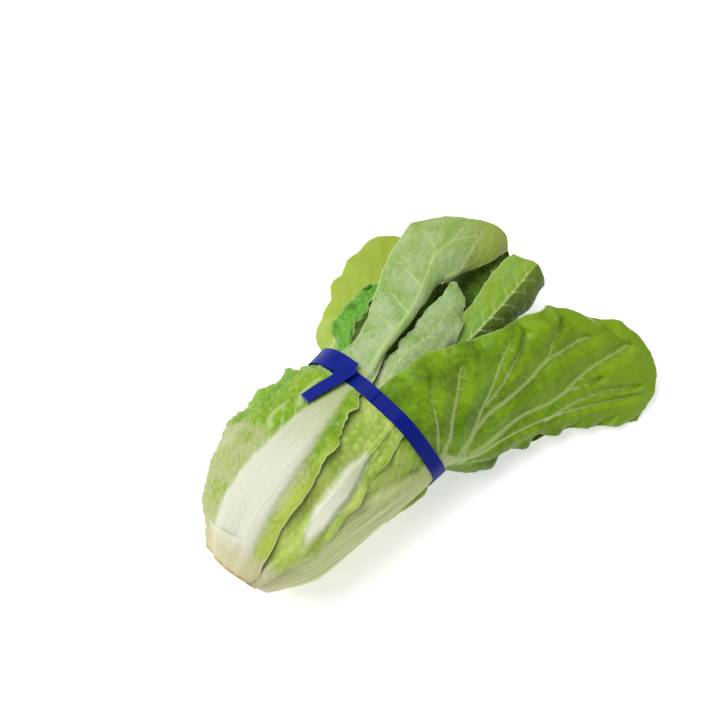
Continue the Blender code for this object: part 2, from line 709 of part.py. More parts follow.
def strip(name, path, width, ring_radius):
    """A flat strip through (x, angle, rise) points. The rise is how far it stands off the band's outside."""
    x, angle, rise = np.array(path).T
    at = np.linspace(0, len(path) - 1, STRIP_ROWS)
    middle = through(range(len(path)), polar(x, angle, ring_radius(angle) + TAPE_THICKNESS + rise), at)
    turned = np.radians(through(range(len(path)), angle, at))
    outward = np.stack([0 * turned, np.sin(turned), np.cos(turned)], axis=-1)
    along = np.gradient(middle, axis=0)
    side = unit(np.cross(outward * (0, 1, 1), along))
    across = np.linspace(-width / 2, width / 2, 3)
    inner = middle[:, None] + side[:, None] * across[:, None]
    return solid_between(name, inner, inner + unit(np.cross(along, side))[:, None] * TAPE_THICKNESS)


def make_tape(field):
    """A flat tape round the head, with its end folded back over it."""
    ring = tight_ring(field)
    turns = np.arange(TAPE_SIDES + 1) * 360 / TAPE_SIDES

    def ring_radius(angle):
        return np.interp(np.mod(angle, 360), turns, np.append(ring, ring[0]))

    xs = TAPE_X + np.linspace(-TAPE_WIDTH / 2, TAPE_WIDTH / 2, 3)
    bm = round_grid(TAPE_SIDES, len(xs), capped=False)
    raised = bmesh.ops.extrude_face_region(bm, geom=bm.faces[:], use_keep_orig=True)
    outside = {item for item in raised["geom"] if isinstance(item, bmesh.types.BMVert)}
    lay_round_axis(bm, xs, lambda x, angle, vertex: ring_radius(angle) + TAPE_THICKNESS * (vertex in outside))
    arch = strip("arch", TAPE_ARCH, ARCH_WIDTH, ring_radius)
    tail = strip("tail", TAPE_TAIL, TAPE_WIDTH, ring_radius)
    return fused("tape", [to_mesh(bm, "band"), arch, tail])


def add_part(name, mesh, colour, head):
    """Puts the mesh in the scene as one named part of the head."""
    material = bpy.data.materials.new(name)
    material.use_nodes = True
    shader = material.node_tree.nodes["Principled BSDF"]
    shader.inputs["Base Color"].default_value = (*COLOURS[colour], 1)
    shader.inputs["Roughness"].default_value = 0.45
    mesh.materials.clear()
    mesh.materials.append(material)
    mesh.shade_smooth()
    mesh.set_sharp_from_angle(angle=math.radians(CREASE_ANGLE))
    obj = bpy.data.objects.new(name, mesh)
    bpy.context.scene.collection.objects.link(obj)
    obj.parent = head


def main():
    for obj in list(bpy.data.objects):
        bpy.data.objects.remove(obj)
    head = bpy.data.objects.new("head", None)
    bpy.context.scene.collection.objects.link(head)
    head.location.x = -REST_X
    add_part("stem_butt", core_piece("butt", np.linspace(BUTT_START, BUTT_END, BUTT_ROWS)), "cut", head)
    add_part("heart", make_heart(), "deep", head)
    field = core_radius(*field_grid())
    for leaf in LEAVES:
        rest = settled(field)
        add_part(leaf.name, solid_between(leaf.name, *leaf_faces(leaf, rest)), leaf.colour, head)
        field = add_to_field(leaf, field, rest)
    add_part("tape", make_tape(field), "blue", head)


main()
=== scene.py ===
"""The looks of a head of bok choy that lies on its side, held round the middle by a flat tape.

The head's own frame is used while a piece is shaped: X runs from the cut end to the leaf tips, Y to the left
and Z up, X = 0 on the cut face and Z = 0 on the surface that the head lies on. Angles round the head are in
degrees: 0 faces up, 90 faces left and -90 faces right. A leaf's left and right are as seen from outside with
its tip up. The leaf tables are in millimetres, and everything else is in metres.

Below the tape every leaf lies on the ones inside it, and above the tape it goes its own way through stations.
Each leaf is then given its margin, waves, puckers and veins.
"""

import math
from dataclasses import dataclass

import bmesh
import bpy
import numpy as np
from mathutils import Matrix, Vector


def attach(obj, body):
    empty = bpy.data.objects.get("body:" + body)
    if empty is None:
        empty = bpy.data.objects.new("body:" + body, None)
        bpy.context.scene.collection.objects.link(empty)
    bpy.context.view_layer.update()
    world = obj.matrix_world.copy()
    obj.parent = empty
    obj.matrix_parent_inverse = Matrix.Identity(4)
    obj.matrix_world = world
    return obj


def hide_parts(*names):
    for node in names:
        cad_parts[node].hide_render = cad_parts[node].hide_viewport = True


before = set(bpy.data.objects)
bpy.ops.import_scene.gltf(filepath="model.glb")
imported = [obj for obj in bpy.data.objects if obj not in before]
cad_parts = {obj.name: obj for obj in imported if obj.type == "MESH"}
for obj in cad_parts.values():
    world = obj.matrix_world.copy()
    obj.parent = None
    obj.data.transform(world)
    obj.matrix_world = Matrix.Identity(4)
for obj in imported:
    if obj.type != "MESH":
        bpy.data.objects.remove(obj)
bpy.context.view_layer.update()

bl_info = {
    "name": "Bok choy",
    "version": (1, 0, 0),
    "blender": (4, 5, 0),
    "location": "View3D > Sidebar > Bok choy",
    "description": "Builds a tied head of bok choy and a plain stage",
    "category": "Object",
}

REST_X = 0.078  # where the part's own origin is along the head
REST_PRESS = 0.0007  # how much of the underside is pressed flat
AXIS_HEIGHT = 0.0490
AXIS_KNOTS = (0.0, 0.020, 0.040, 0.060, 0.080, 0.100, 0.120, 0.140)
AXIS_SIDE = (-0.0045, 0.0007, 0.0045, 0.0065, 0.0062, 0.0043, 0.0015, 0.0)  # how far left the axis runs

# The head's mean radius, by which widths become angles, and the half widths of its core
HEAD_KNOTS = (0.0, 0.010, 0.030, 0.060, 0.090, 0.120, 0.145, 0.190)
HEAD_RADIUS = (0.023, 0.034, 0.0465, 0.053, 0.055, 0.054, 0.053, 0.053)
CORE_KNOTS = (0.0, 0.012, 0.020, 0.035, 0.060, 0.090, 0.120, 0.145, 0.165, 0.180)
CORE_HALF_WIDTH = (0.0195, 0.0275, 0.0336, 0.0430, 0.0498, 0.0522, 0.0520, 0.0490, 0.0390, 0.0160)
CORE_FLATNESS = 0.78
CORE_START, CORE_END = 0.0145, 0.1800
CORE_SIDES, CORE_ROWS, CORE_MAP_RADIUS = 96, 90, 0.0498
CORE_MARKS = {"off_stalk": 20.0, "vein": 0.0, "pucker": 0.3, "margin": 9.0, "foot": 99.0, "free": 0.0}

BUTT_START, BUTT_END = -0.0020, 0.0140
BUTT_SIDES, BUTT_ROWS, BUTT_RINGS = 120, 16, 9
BUTT_ROUGH, BUTT_BUMPS = 0.0004, (9, 900)  # how uneven its side is, with bumps per radian and per metre
CUT_ROUGH, CUT_BUMPS = 0.0006, 9  # how uneven the cut face is, with bumps per radius
CUT_RIM, RIM_SHARE = 0.0012, 0.15  # how far the rim of the cut face is drawn in, and its share of the radius
CUT_LEAN, CUT_TURN = 0.38, 0.12  # how far the cut face leans back with height, and turns in to the right
LEAN_REACH = 0.060
FOOT_TUCK = 0.24  # how much the leaves' feet are drawn in at the cut
TUCK_START, TUCK_REACH = -0.0045, 0.030

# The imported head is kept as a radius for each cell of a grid, in metres along it and degrees round it
FIELD_LENGTH, FIELD_STEP, FIELD_TURN = 0.150, 0.0015, 2.0
SETTLE_REACH = 3  # cells on each side that a leaf bridges
LEAF_GAP = 0.0008

BLADE = 0.0009  # thickness of a CAD leaf's blade
STALK_EDGE = (0.45, 1.10)  # shares of a stalk's half width between which it thins out to the blade
FREE_STALK, BARE_RIB = 0.006, 0.0008  # half width of a midrib past the tape, and its height on a heart leaf
LEAD_X = 0.126  # where the rows that lead a leaf over into its free part start
SHELL_WAVE = 0.034  # wavelength of the ruffles below the tape
RUFFLED_FROM, RUFFLED_TO = (0.02, 0.06), (0.126, 0.112)  # where they fade in and out
SIDE_PHASE = 1.5  # how far apart in phase a leaf's two margins are
JOIN_REACH, JOIN_TIMES = 6, 14  # rows evened out on both sides of where the free part starts, and how often

LOBE, TOOTH = 0.011, 0.0028  # wavelengths of a margin's outline
CRIMP, FINE_CRIMP = 0.0075, 0.0034  # wavelengths of its finer waves
FRILL_RISE = (0.0021, 0.0060)  # how far a right and a left margin below the tape can stand off the head
UNDER_TAPE = (0.1300, 0.1220)  # where a frilled margin is flattened towards the tape
FOOT_SUNK = (0.048, 0.014)  # where a margin that sinks in near the cut starts and is fully sunk
EDGE_THICKNESS, EDGE_WIDTH = 0.0003, 0.0022  # a blade's thickness at its margin, and where it is full again
FOOT_ROUND = 0.004  # how far from the cut a leaf's foot is rounded off
WARP, SWELL = 0.012, 0.009  # wavelengths of the puckers' unevenness
GROOVE, GROOVE_DEPTH = 0.0016, 0.0001  # spacing and depth of the grooves along a stalk

VEIN_STEP = 0.0012
VEIN_GAP, VEIN_TURN = 0.013, (46, 22)  # between side veins, and their angle to the rib at both ends
VEIN_REACH = 0.003  # how far from its middle a vein is felt
VEIN_CLEAR = 0.012  # how far from a leaf's ends its side veins keep
SIDE_VEIN, SIDE_VEIN_LENGTH = 0.0008, 0.055
OWN_VEIN = 0.0011  # least half width of a vein from a leaf's own list
TWIG, TWIG_LENGTH, TWIG_EVERY = 0.0007, 0.011, 7
VALLEY = 6  # how many times its width a side vein holds the blade down

TAPE_X = 0.1350
TAPE_WIDTH, ARCH_WIDTH = 0.0102, 0.0138
TAPE_THICKNESS = 0.0007
TAPE_GAP = 0.0008
TAPE_SIDES = 240
BAND_COLUMNS, BAND_MAP_RADIUS = 7, 0.055
RIBBON_ROWS, RIBBON_COLUMNS = 40, 9
FAR_FROM_END = 9.0  # mark, in mm, of the tape where no cut end is near

MM = 1000
# The fields of a leaf that are one length, and what each column of its tables is divided by
LENGTHS = """start end ruffle free_ruffle step pucker pucker_size pillow crimp lobes teeth vein_height sink
    foot_sink skew midrib side_veins""".split()
COLUMNS = dict.fromkeys(("left", "right", "petiole", "rib", "stripe"), (MM, MM))
COLUMNS |= {"facing": (MM, 1), "frill": (MM, 1), "tip": (1, MM), "stations": (MM, MM, MM, 1, MM, MM, 1, 1)}


@dataclass
class Leaf:
    """One leaf, given in millimetres and degrees. Below the tape facing, left, right, petiole and rib are
    (x, value) pairs: the angle that it faces, its half widths, the half width of its thick white stalk and
    the thickness there. Past the tape it runs through its stations, each (x, y, z, facing, left, right,
    bend left, bend right)."""

    name: str
    slot: str
    finish: str
    stations: tuple = ()
    start: float = -1.5
    end: float = 141.5
    facing: tuple = ()
    left: tuple = ()
    right: tuple = ()
    petiole: tuple = ()
    rib: tuple = ()
    tip: tuple = ((-1, 16), (0, 0), (1, 16))  # how far each place across stays behind at the tip
    ruffle: float = 0.0
    free_ruffle: float = 3.5
    waves: float = 5.0
    phase: float = 0.0
    on_surface: bool = False
    step: float = 1.3  # between the points of its mesh
    pucker: float = 0.6  # height of the puckers between the veins
    pucker_size: float = 7.0
    pillow: float = 0.6  # how far the blade bulges between the side veins
    crimp: float = 1.0  # the finer waves of the margin
    frill: tuple = ((0, 1),)  # (x, factor) pairs: where below the tape the margin is frillier
    lobes: float = 1.2  # how far the margin's outline swings
    teeth: float = 0.4
    vein_height: float = 0.6
    sink: float = 0.0  # how far its side margins are pressed onto what they lie on
    foot_sink: float = 0.0  # how far its right margin sinks in near the cut
    skew: float = 0.0  # how much further its end reaches on the right
    even: int = 1  # how far what it lies on is evened out under it
    stripe: tuple = ()  # (x, half width) pairs of the stalk's white, where it isn't all of the stalk
    midrib: float = 1.2  # half width of the pale line along its middle past the tape
    calm: float = 1.0  # how much of its uneven margin it keeps past the tape
    side_veins: float = 1000.0  # where its evenly spaced side veins stop
    veins: tuple = ()  # other main side veins, each (half width, points along and across it)
    seed: int = 1

    def __post_init__(self):
        """Turns millimetres into metres."""
        for name in LENGTHS:
            setattr(self, name, getattr(self, name) / MM)
        for name, units in COLUMNS.items():
            rows = getattr(self, name)
            setattr(self, name, [tuple(value / unit for value, unit in zip(row, units)) for row in rows])


LEAVES = [
    Leaf(
        "leaf_pointed", "pale_leaf", "silver", start=36, facing=[(0, -2), (140, 5)],
        left=[(40, 22), (80, 30), (140, 11)], right=[(40, 22), (80, 30), (140, 9)],
        petiole=[(0, 12), (140, 6)], rib=[(40, 2), (140, 1.8)],
        stations=[
            (170, 9, 90.5, 0, 8, 15, 30, 36), (196, 7, 85.5, -6, 14, 19, 24, 31),
            (216, 12, 80, -8, 11, 12, 16, 20), (236, 24, 73, -8, 2, 3, 10, 10),
        ],
        tip=[(-1, 1), (0, 0), (1, 1)], free_ruffle=1.2, midrib=0.6, phase=0.6, step=1, lobes=1.8, teeth=1.4,
        seed=11,
    ),
    Leaf(
        "leaf_folded", "green_leaf", "mid", start=36, facing=[(0, -34), (140, -26)],
        left=[(40, 20), (80, 30), (140, 16)], right=[(40, 22), (80, 34), (140, 22)],
        petiole=[(0, 12), (140, 6)], rib=[(40, 2), (140, 1.8)],
        stations=[
            (172, -10, 81, -12, 8, 14, 20, 60), (205, -11, 74.8, -6, 12, 20, 12, 105),
            (235, -10, 71, -6, 17, 22, 8, 105), (261, -7, 64, -6, 19, 21, 8, 95),
            (287, -3, 56, -6, 16, 16, 12, 60),
        ],
        tip=[(-1, 6), (0, 0), (1, 4)], free_ruffle=1.2, midrib=0.9, phase=1.4, step=1, seed=12,
    ),
    Leaf(
        "leaf_left", "yellow_leaf", "yellow", facing=[(0, 104), (50, 100), (100, 92), (140, 80)],
        left=[(0, 14), (20, 30), (50, 44), (100, 46), (140, 36)],
        right=[(0, 14), (20, 28), (50, 40), (100, 40), (140, 34)],
        petiole=[(0, 16), (30, 24), (70, 20), (140, 7)], rib=[(0, 2.8), (30, 5.2), (80, 4.6), (140, 2.6)],
        stations=[
            (162, 56, 59.5, 44, 30, 18, 6, 20), (177, 59, 57, 34, 26, 18, 6, 18),
            (192, 62, 53.5, 26, 31, 18, 4, 12), (216, 66, 48, 16, 30, 20, 2, 10),
            (247, 70, 42, 10, 22, 16, 2, 8),
        ],
        tip=[(-1, 10), (0, 0), (0.5, 1), (1, 9)], ruffle=1.5, free_ruffle=1.4, calm=0.6, phase=2.1,
        pucker=0.4, teeth=0.9, lobes=2.6, seed=13,
    ),
    Leaf(
        "leaf_curled", "inner_leaf", "bright", start=50, facing=[(50, 58), (100, 52), (140, 48)],
        left=[(50, 14), (100, 20), (140, 13)], right=[(50, 14), (100, 20), (140, 12)],
        petiole=[(50, 8), (140, 4)], rib=[(50, 3), (140, 2.2)],
        stations=[
            (163, 51, 76.5, 36, 12, 5, -50, -20), (182, 54, 72, 30, 11, 5, -60, -30),
            (203, 60, 68, 26, 6, 5, -60, -30),
        ],
        tip=[(-1, 3), (0, 0), (1, 3)], free_ruffle=2.2, midrib=-3, waves=3, phase=0.3, step=0.8, pucker=1.6,
        pucker_size=4.5, crimp=3.4, lobes=3.2, teeth=1.4, seed=14,
    ),
    Leaf(
        "leaf_right", "green_leaf", "green", facing=[(0, -62), (40, -68), (100, -76), (140, -79)],
        left=[(0, 16), (20, 32), (50, 52), (100, 70), (140, 78)],
        right=[(0, 14), (20, 26), (50, 29), (100, 29), (140, 32)],
        petiole=[(0, 18), (30, 27), (70, 23), (140, 9)], rib=[(0, 3), (30, 5.8), (80, 5.2), (140, 3.4)],
        stations=[
            (165, -60, 42, -60, 80, 25, 42, 40), (190, -65, 36, -57, 74, 18, 36, 25),
            (216, -73, 30, -53, 71, 15, 28, 8), (240, -84, 24, -47, 74, 15, 20, -6),
            (264, -97, 17, -41, 58, 18, 14, -10), (291, -114, 10, -36, 46, 16, 10, -8),
        ],
        tip=[(-1, 20), (-0.5, 10), (0, 4), (0.5, 0), (0.75, 4), (1, 16)], free_ruffle=3.2, waves=6, phase=0.9,
        step=1.1, lobes=2, pillow=3.6, vein_height=1,
        veins=[
            (0.9, [(89, 10), (105, 17), (118, 28), (126, 35), (137, 42)]),
            (0.9, [(99, 5), (116, 14), (127, 24), (137, 31), (150, 36)]),
            (0.8, [(110, 4), (125, 10), (137, 17), (148, 22)]),
            (0.8, [(120, 3), (131, 7), (142, 11), (152, 13)]),
            (1.4, [(163, -7), (182, 14), (199, 22), (217, 25), (235, 31), (247, 38), (266, 44), (283, 47)]),
            (1.3, [(176, 3), (200, 5), (221, 9), (247, 11), (272, 24), (307, 36)]),
            (1.2, [(152, 5), (165, 17), (178, 35), (191, 50), (200, 61)]),
            (1.1, [(164, 2), (184, 16), (197, 27), (208, 35), (220, 46), (234, 62)]),
            (0.8, [(238, -1), (262, 5), (284, 7), (306, 6)]),
            (0.6, [(230, 29), (250, 40), (261, 55), (270, 62)]),
            (0.6, [(203, 29), (218, 36), (232, 48), (247, 63)]),
            (0.7, [(152, 11), (161, 28), (170, 47), (178, 64)]), (0.6, [(253, 14), (268, 15), (281, 17)]),
            (0.7, [(176, -3), (190, -10), (206, -17)]),
        ],
        side_veins=0, seed=15,
    ),
    Leaf(
        "leaf_under_left", "green_leaf", "green", facing=[(0, 150), (50, 146), (140, 142)],
        left=[(0, 14), (20, 28), (50, 40), (140, 32)], right=[(0, 14), (20, 28), (50, 38), (140, 26)],
        petiole=[(0, 14), (30, 20), (70, 17), (140, 6)], rib=[(0, 2.6), (30, 4.4), (80, 3.8), (140, 2.2)],
        stations=[
            (168, 38, 12.5, 165, 30, 32, 12, 16), (198, 45, 8, 178, 32, 34, 2, 2),
            (226, 51, 7, 183, 30, 31, 0, -2), (250, 56, 6.5, 184, 18, 18, 0, -2),
        ],
        free_ruffle=1.2, phase=3, step=1.6, seed=16,
    ),
    Leaf(
        "leaf_under_right", "green_leaf", "green", facing=[(0, -136), (50, -140), (140, -140)],
        left=[(0, 8), (20, 14), (50, 22), (100, 22), (140, 16)],
        right=[(0, 14), (20, 28), (50, 40), (140, 32)], petiole=[(0, 14), (30, 20), (70, 17), (140, 6)],
        rib=[(0, 2.6), (30, 4.4), (80, 3.8), (140, 2.2)],
        stations=[
            (168, -34, 12, -165, 18, 28, 14, 12), (196, -42, 7.8, -178, 20, 32, 2, 2),
            (222, -56, 6.2, -183, 22, 30, -2, 0), (244, -70, 5.6, -184, 14, 18, -2, 0),
        ],
        free_ruffle=1, phase=4, step=1.6, seed=17,
    ),
    Leaf(
        "leaf_under", "green_leaf", "green", facing=[(0, -172), (140, -178)],
        left=[(0, 14), (20, 28), (50, 40), (140, 34)], right=[(0, 14), (20, 28), (50, 40), (140, 34)],
        petiole=[(0, 16), (30, 24), (70, 20), (140, 7)], rib=[(0, 2.8), (30, 5), (80, 4.6), (140, 2.6)],
        stations=[
            (168, -3, 4, -179, 34, 34, 6, 6), (200, -6, 2, -180, 36, 36, 0, 0),
            (232, -9, 1.4, -180, 34, 34, 0, 0), (262, -11, 1.2, -180, 20, 20, 0, 0),
        ],
        free_ruffle=0.4, phase=5, on_surface=True, step=1.6, pucker=0.2, crimp=0.4, seed=18,
    ),
    Leaf(
        "leaf_short", "stalk_leaf", "light", end=134,
        facing=[(0, -42), (35, -42), (57, -39), (75, -37), (90, -33), (110, -28), (134, -22)],
        left=[(0, 12), (20, 22), (50, 26), (100, 32), (134, 34)],
        right=[(0, 6), (30, 9.5), (50, 12), (80, 14.5), (110, 12.5), (134, 11.5)],
        petiole=[(0, 5), (35, 5.5), (45, 8.4), (75, 8.2), (88, 6), (98, 2.2)],
        rib=[(0, 2.6), (30, 4.4), (80, 3.8), (134, 1.6)],
        stripe=[(0, -5), (26, -4), (40, 4.5), (54, 8.2), (86, 9), (101, 5), (113, -5)], ruffle=2.2, phase=1.1,
        step=0.9, pucker=1.2, pucker_size=6, crimp=1, lobes=1.6, teeth=0.6, foot_sink=3.2, seed=19,
    ),
    Leaf(
        "leaf_front", "stalk_leaf", "front",
        facing=[(0, 18), (35, 13), (66, 12), (100, 17), (125, 21), (140, 22)],
        left=[(0, 24), (10, 36), (20, 46), (50, 60), (90, 64), (120, 52), (140, 30)],
        right=[(0, 21), (5, 26), (18, 30), (50, 30), (90, 26), (106, 20), (125, 14), (140, 9)],
        petiole=[(0, 20), (30, 24.5), (66, 20.5), (100, 16.5), (123, 9.5), (140, 6)],
        rib=[(0, 3), (30, 6.8), (80, 6), (140, 3)],
        stations=[
            (168, 22, 94, 15, 23, 4, 22, 110), (196, 27, 88.5, 12, 29, 6, 18, 110),
            (224, 38, 80.5, 6, 30, 12, 14, 70), (246, 50, 71.5, 0, 25, 36, 10, 50),
            (275, 66, 59, -4, 14, 60, 8, 34),
        ],
        ruffle=3.6, tip=[(-1, 14), (-0.75, 4), (-0.5, 0), (-0.25, 3), (0, 7), (0.5, 12), (1, 20)],
        free_ruffle=1, phase=0.2, calm=0.4, even=5,
        stripe=[(0, 20), (30, 21.5), (66, 17.5), (100, 12.5), (123, 5.5), (140, 2)], step=1.1, pucker=1.6,
        pucker_size=5.5, crimp=1.6, lobes=1.6, teeth=0.5,
        frill=[(0, 0.5), (60, 0.7), (90, 2.2), (125, 3.4), (140, 1)],
        veins=[
            (1.9, [(116, 17), (121, 20), (129, 21), (139, 20)]),
            (1.7, [(92, 22), (97, 26), (105, 26), (114, 25)]),
            (1, [(257, -1), (268, -4), (277, -10), (288, -14), (298, -18)]),
            (0.9, [(250, -14), (259, -22), (269, -24), (282, -27), (298, -30)]),
            (0.7, [(236, 1), (246, 12), (262, 24)]), (0.7, [(213, 1), (222, 15), (234, 27)]),
            (0.6, [(273, 1), (286, 11), (297, 19)]), (0.5, [(277, -10), (283, -22), (290, -35)]),
            (0.6, [(196, 1), (202, 14), (208, 28)]),
        ],
        side_veins=118, foot_sink=3.2, seed=20,
    ),
    Leaf(
        "leaf_stub", "cut_stalk", "cream", start=-1.8, end=13.5, facing=[(0, 16), (20, 16)],
        left=[(0, 21), (14, 34)], right=[(0, 10), (12, 12.5), (18, 10.5)], petiole=[(0, 30), (20, 30)],
        rib=[(0, 1.6), (20, 1)], sink=5.2, skew=3.2, step=0.8, pucker=0, crimp=0, lobes=0.6, teeth=0.3,
        vein_height=0, seed=21,
    ),
]

HEART_STATIONS = {
    "heart_upper_left": [
        (135, 20, 64, 20, 8, 8, 30, 30), (165, 26, 62, 15, 15, 13, 20, 20),
        (200, 32, 52, 8, 22, 14, 14, 14), (238, 38, 40, 4, 14, 12, 10, 10),
    ],
    "heart_upper": [
        (135, -4, 70, 0, 8, 8, 20, 20), (165, -4, 70, -2, 14, 14, 20, 20),
        (205, 0, 60, -2, 18, 18, 16, 16), (248, 10, 48, -2, 26, 18, 10, 10),
        (270, 18, 43, -2, 24, 16, 8, 8), (286, 22, 39, -2, 14, 10, 6, 6),
    ],
    "heart_right": [
        (135, -24, 54, -50, 8, 8, 20, 20), (165, -34, 50, -42, 14, 14, 14, 14),
        (205, -44, 40, -34, 18, 16, 10, 10), (245, -52, 30, -28, 12, 12, 6, 6),
    ],
    "heart_lower_left": [
        (135, 18, 34, 140, 10, 10, 20, 20), (165, 28, 30, 140, 18, 20, 16, 16),
        (205, 40, 24, 152, 24, 26, 8, 8), (242, 50, 20, 162, 14, 14, 4, 4),
    ],
    "heart_lower_right": [
        (135, -14, 32, -150, 10, 10, 20, 20), (165, -16, 26, -155, 18, 18, 12, 12),
        (205, -22, 20, -162, 24, 24, 6, 6), (245, -28, 16, -168, 14, 14, 2, 2),
    ],
}
HEART_BLADES = [
    Leaf(name, "inner_leaf", "inner", stations, phase=k, seed=31 + k)
    for k, (name, stations) in enumerate(HEART_STATIONS.items())
]

# (x, angle, rise above the tape) along the arch and the tail, in metres and degrees
TAPE_ARCH = [
    (0.1345, 74, -0.0004), (0.1352, 63, 0.0014), (0.1366, 51, 0.0022), (0.1374, 39, 0.0022),
    (0.1378, 27, 0.0010),
]
TAPE_TAIL = [
    (0.1405, 27, 0.0016), (0.1320, 28, 0.0028), (0.1220, 30, 0.0032), (0.1125, 32, 0.0028),
    (0.1030, 33, 0.0024),
]

PHOTO_SIDE = 720
ANCHOR_PIXEL = (246, 578)  # where the picture shows the anchor point
ANCHOR = Vector((-REST_X, -0.010, 0.046))
KEY_PLACE = (-1.7, 1.8, 3.2)  # the light's place to the right of the head, up, and towards the camera
FLOOR_REACH = 3.0


# Curves and noise


def smoothstep(low, high, value):
    t = np.clip((np.asarray(value, float) - low) / (high - low), 0, 1)
    return t * t * (3 - 2 * t)


def through(knots, values, at):
    """Values read off a smooth curve through the knots, held level past both ends."""
    knots, values = np.asarray(knots, float), np.asarray(values, float)
    at = np.clip(np.asarray(at, float), knots[0], knots[-1])
    slopes = np.gradient(values, knots, axis=0)
    i = np.clip(np.searchsorted(knots, at, side="right") - 1, 0, len(knots) - 2)
    span = knots[i + 1] - knots[i]
    t = (at - knots[i]) / span
    more = (...,) + (None,) * (values.ndim - 1)
    t, span = t[more], span[more]
    near = values[i] * (1 + 2 * t) * (1 - t) ** 2 + slopes[i] * span * t * (1 - t) ** 2
    return near + values[i + 1] * t**2 * (3 - 2 * t) + slopes[i + 1] * span * t**2 * (t - 1)


def read(pairs, x):
    """A leaf's measure at x, from its (x, value) pairs."""
    knots, values = zip(*pairs)
    return np.interp(x, knots, values)


def unit(vectors):
    return vectors / np.maximum(np.linalg.norm(vectors, axis=-1, keepdims=True), 1e-12)


def line_run(line):
    """How far along it each point of a line is."""
    return np.concatenate([[0], np.cumsum(np.linalg.norm(np.diff(line, axis=0), axis=1))])


def hashed(i, j, seed):
    """A repeatable number from 0 to 1 for each whole pair."""
    n = (i.astype(np.int64) * 374761393 + j.astype(np.int64) * 668265263 + seed * 974634777) & 0x7FFFFFFF
    n = ((n ^ (n >> 13)) * 1274126177) & 0x7FFFFFFF
    return ((n ^ (n >> 16)) & 0xFFFFFF) / 0xFFFFFF


def swells(x, y, seed):
    """Smooth noise from -1 to 1 with a wavelength of about 2."""
    i, j = np.floor(x), np.floor(y)
    p, q = smoothstep(0, 1, x - i), smoothstep(0, 1, y - j)
    near = hashed(i, j, seed) * (1 - p) + hashed(i + 1, j, seed) * p
    far = hashed(i, j + 1, seed) * (1 - p) + hashed(i + 1, j + 1, seed) * p
    return 2 * (near * (1 - q) + far * q) - 1


def wander(along, seed):
    """Smooth noise from -1 to 1 along a line."""
    return swells(along, np.full_like(along, 0.37), seed)


def cells(x, y, seed):
    """How far each point is from the border of its cell, in a field of cells about 1 across."""
    i, j = np.floor(x), np.floor(y)
    nearest, second = np.full(x.shape, 9.0), np.full(x.shape, 9.0)
    for a, b in ((i + di, j + dj) for di in (-1, 0, 1) for dj in (-1, 0, 1)):
        side = a + 0.15 + 0.7 * hashed(a, b, seed) - x
        away = np.hypot(side, b + 0.15 + 0.7 * hashed(a, b, seed + 7) - y)
        second = np.minimum(second, np.maximum(nearest, away))
        nearest = np.minimum(nearest, away)
    return second - nearest


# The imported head


def polar(x, angle, radius):
    """The point at that angle and distance from the head's axis."""
    turned = np.radians(angle)
    radius = radius * (1 - FOOT_TUCK * np.clip(1 - (np.asarray(x) - TUCK_START) / TUCK_REACH, 0, 1) ** 2.5)
    side, up = radius * np.sin(turned), radius * np.cos(turned)
    back = CUT_TURN * np.maximum(-side, 0) - CUT_LEAN * up
    x_back = x + back * np.clip(1 - np.asarray(x) / LEAN_REACH, 0, 1) ** 2
    y = through(AXIS_KNOTS, AXIS_SIDE, x) + side
    return np.stack(np.broadcast_arrays(x_back, y, AXIS_HEIGHT + up), axis=-1)


def core_radius(x, angle):
    turned = np.radians(angle)
    stretch = np.sqrt(np.sin(turned) ** 2 + (np.cos(turned) / CORE_FLATNESS) ** 2)
    return through(CORE_KNOTS, CORE_HALF_WIDTH, x) / stretch


def field_grid():
    x = np.arange(0, FIELD_LENGTH + FIELD_STEP / 2, FIELD_STEP)
    angle = np.arange(-180, 180, FIELD_TURN)
    return np.meshgrid(x, angle, indexing="ij")


def shifted(field, along, around):
    rows = np.clip(np.arange(len(field)) - along, 0, len(field) - 1)
    return np.roll(field[rows], around, axis=1)


def spread(field, reach, combine):
    """The field with each cell combined with those within reach of it."""
    steps = range(-reach, reach + 1)
    field = combine([shifted(field, 0, k) for k in steps], axis=0)
    return combine([shifted(field, k, 0) for k in steps], axis=0)


def settled(field):
    """The surface that a leaf takes on the field: it bridges dips and steps, and never goes below them."""
    return spread(spread(field, SETTLE_REACH, np.max), SETTLE_REACH, np.mean) + LEAF_GAP


def look_up(field, x, angle):
    """The field between its cells."""
    last = len(field) - 2
    along, around = np.asarray(x) / FIELD_STEP, np.mod(np.asarray(angle) + 180, 360) / FIELD_TURN
    i, j = np.clip(along.astype(int), 0, last), around.astype(int) % field.shape[1]
    k = (j + 1) % field.shape[1]
    p, q = np.clip(along - i, 0, 1), around - np.floor(around)
    near = field[i, j] * (1 - q) + field[i, k] * q
    far = field[i + 1, j] * (1 - q) + field[i + 1, k] * q
    return near * (1 - p) + far * p


def half_width(leaf, x, v):
    return np.where(v > 0, read(leaf.left, x), read(leaf.right, x))


def ruffle_lift(leaf, x, v):
    """How far a ruffled margin stands off what it lies on."""
    stretch = smoothstep(*RUFFLED_FROM, x) * smoothstep(*RUFFLED_TO, x)
    wave = np.sin(2 * math.pi * np.asarray(x) / SHELL_WAVE + leaf.phase + SIDE_PHASE * np.sign(v))
    return leaf.ruffle * smoothstep(0.62, 1.0, np.abs(v)) * stretch * (0.5 + 0.5 * wave)


def thickness(leaf, x, distance, blade=BLADE):
    """A leaf is a thin blade on both sides of a thick stalk."""
    stalk = 1 - smoothstep(*STALK_EDGE, distance / read(leaf.petiole, x))
    return blade + (read(leaf.rib, x) - blade) * stalk


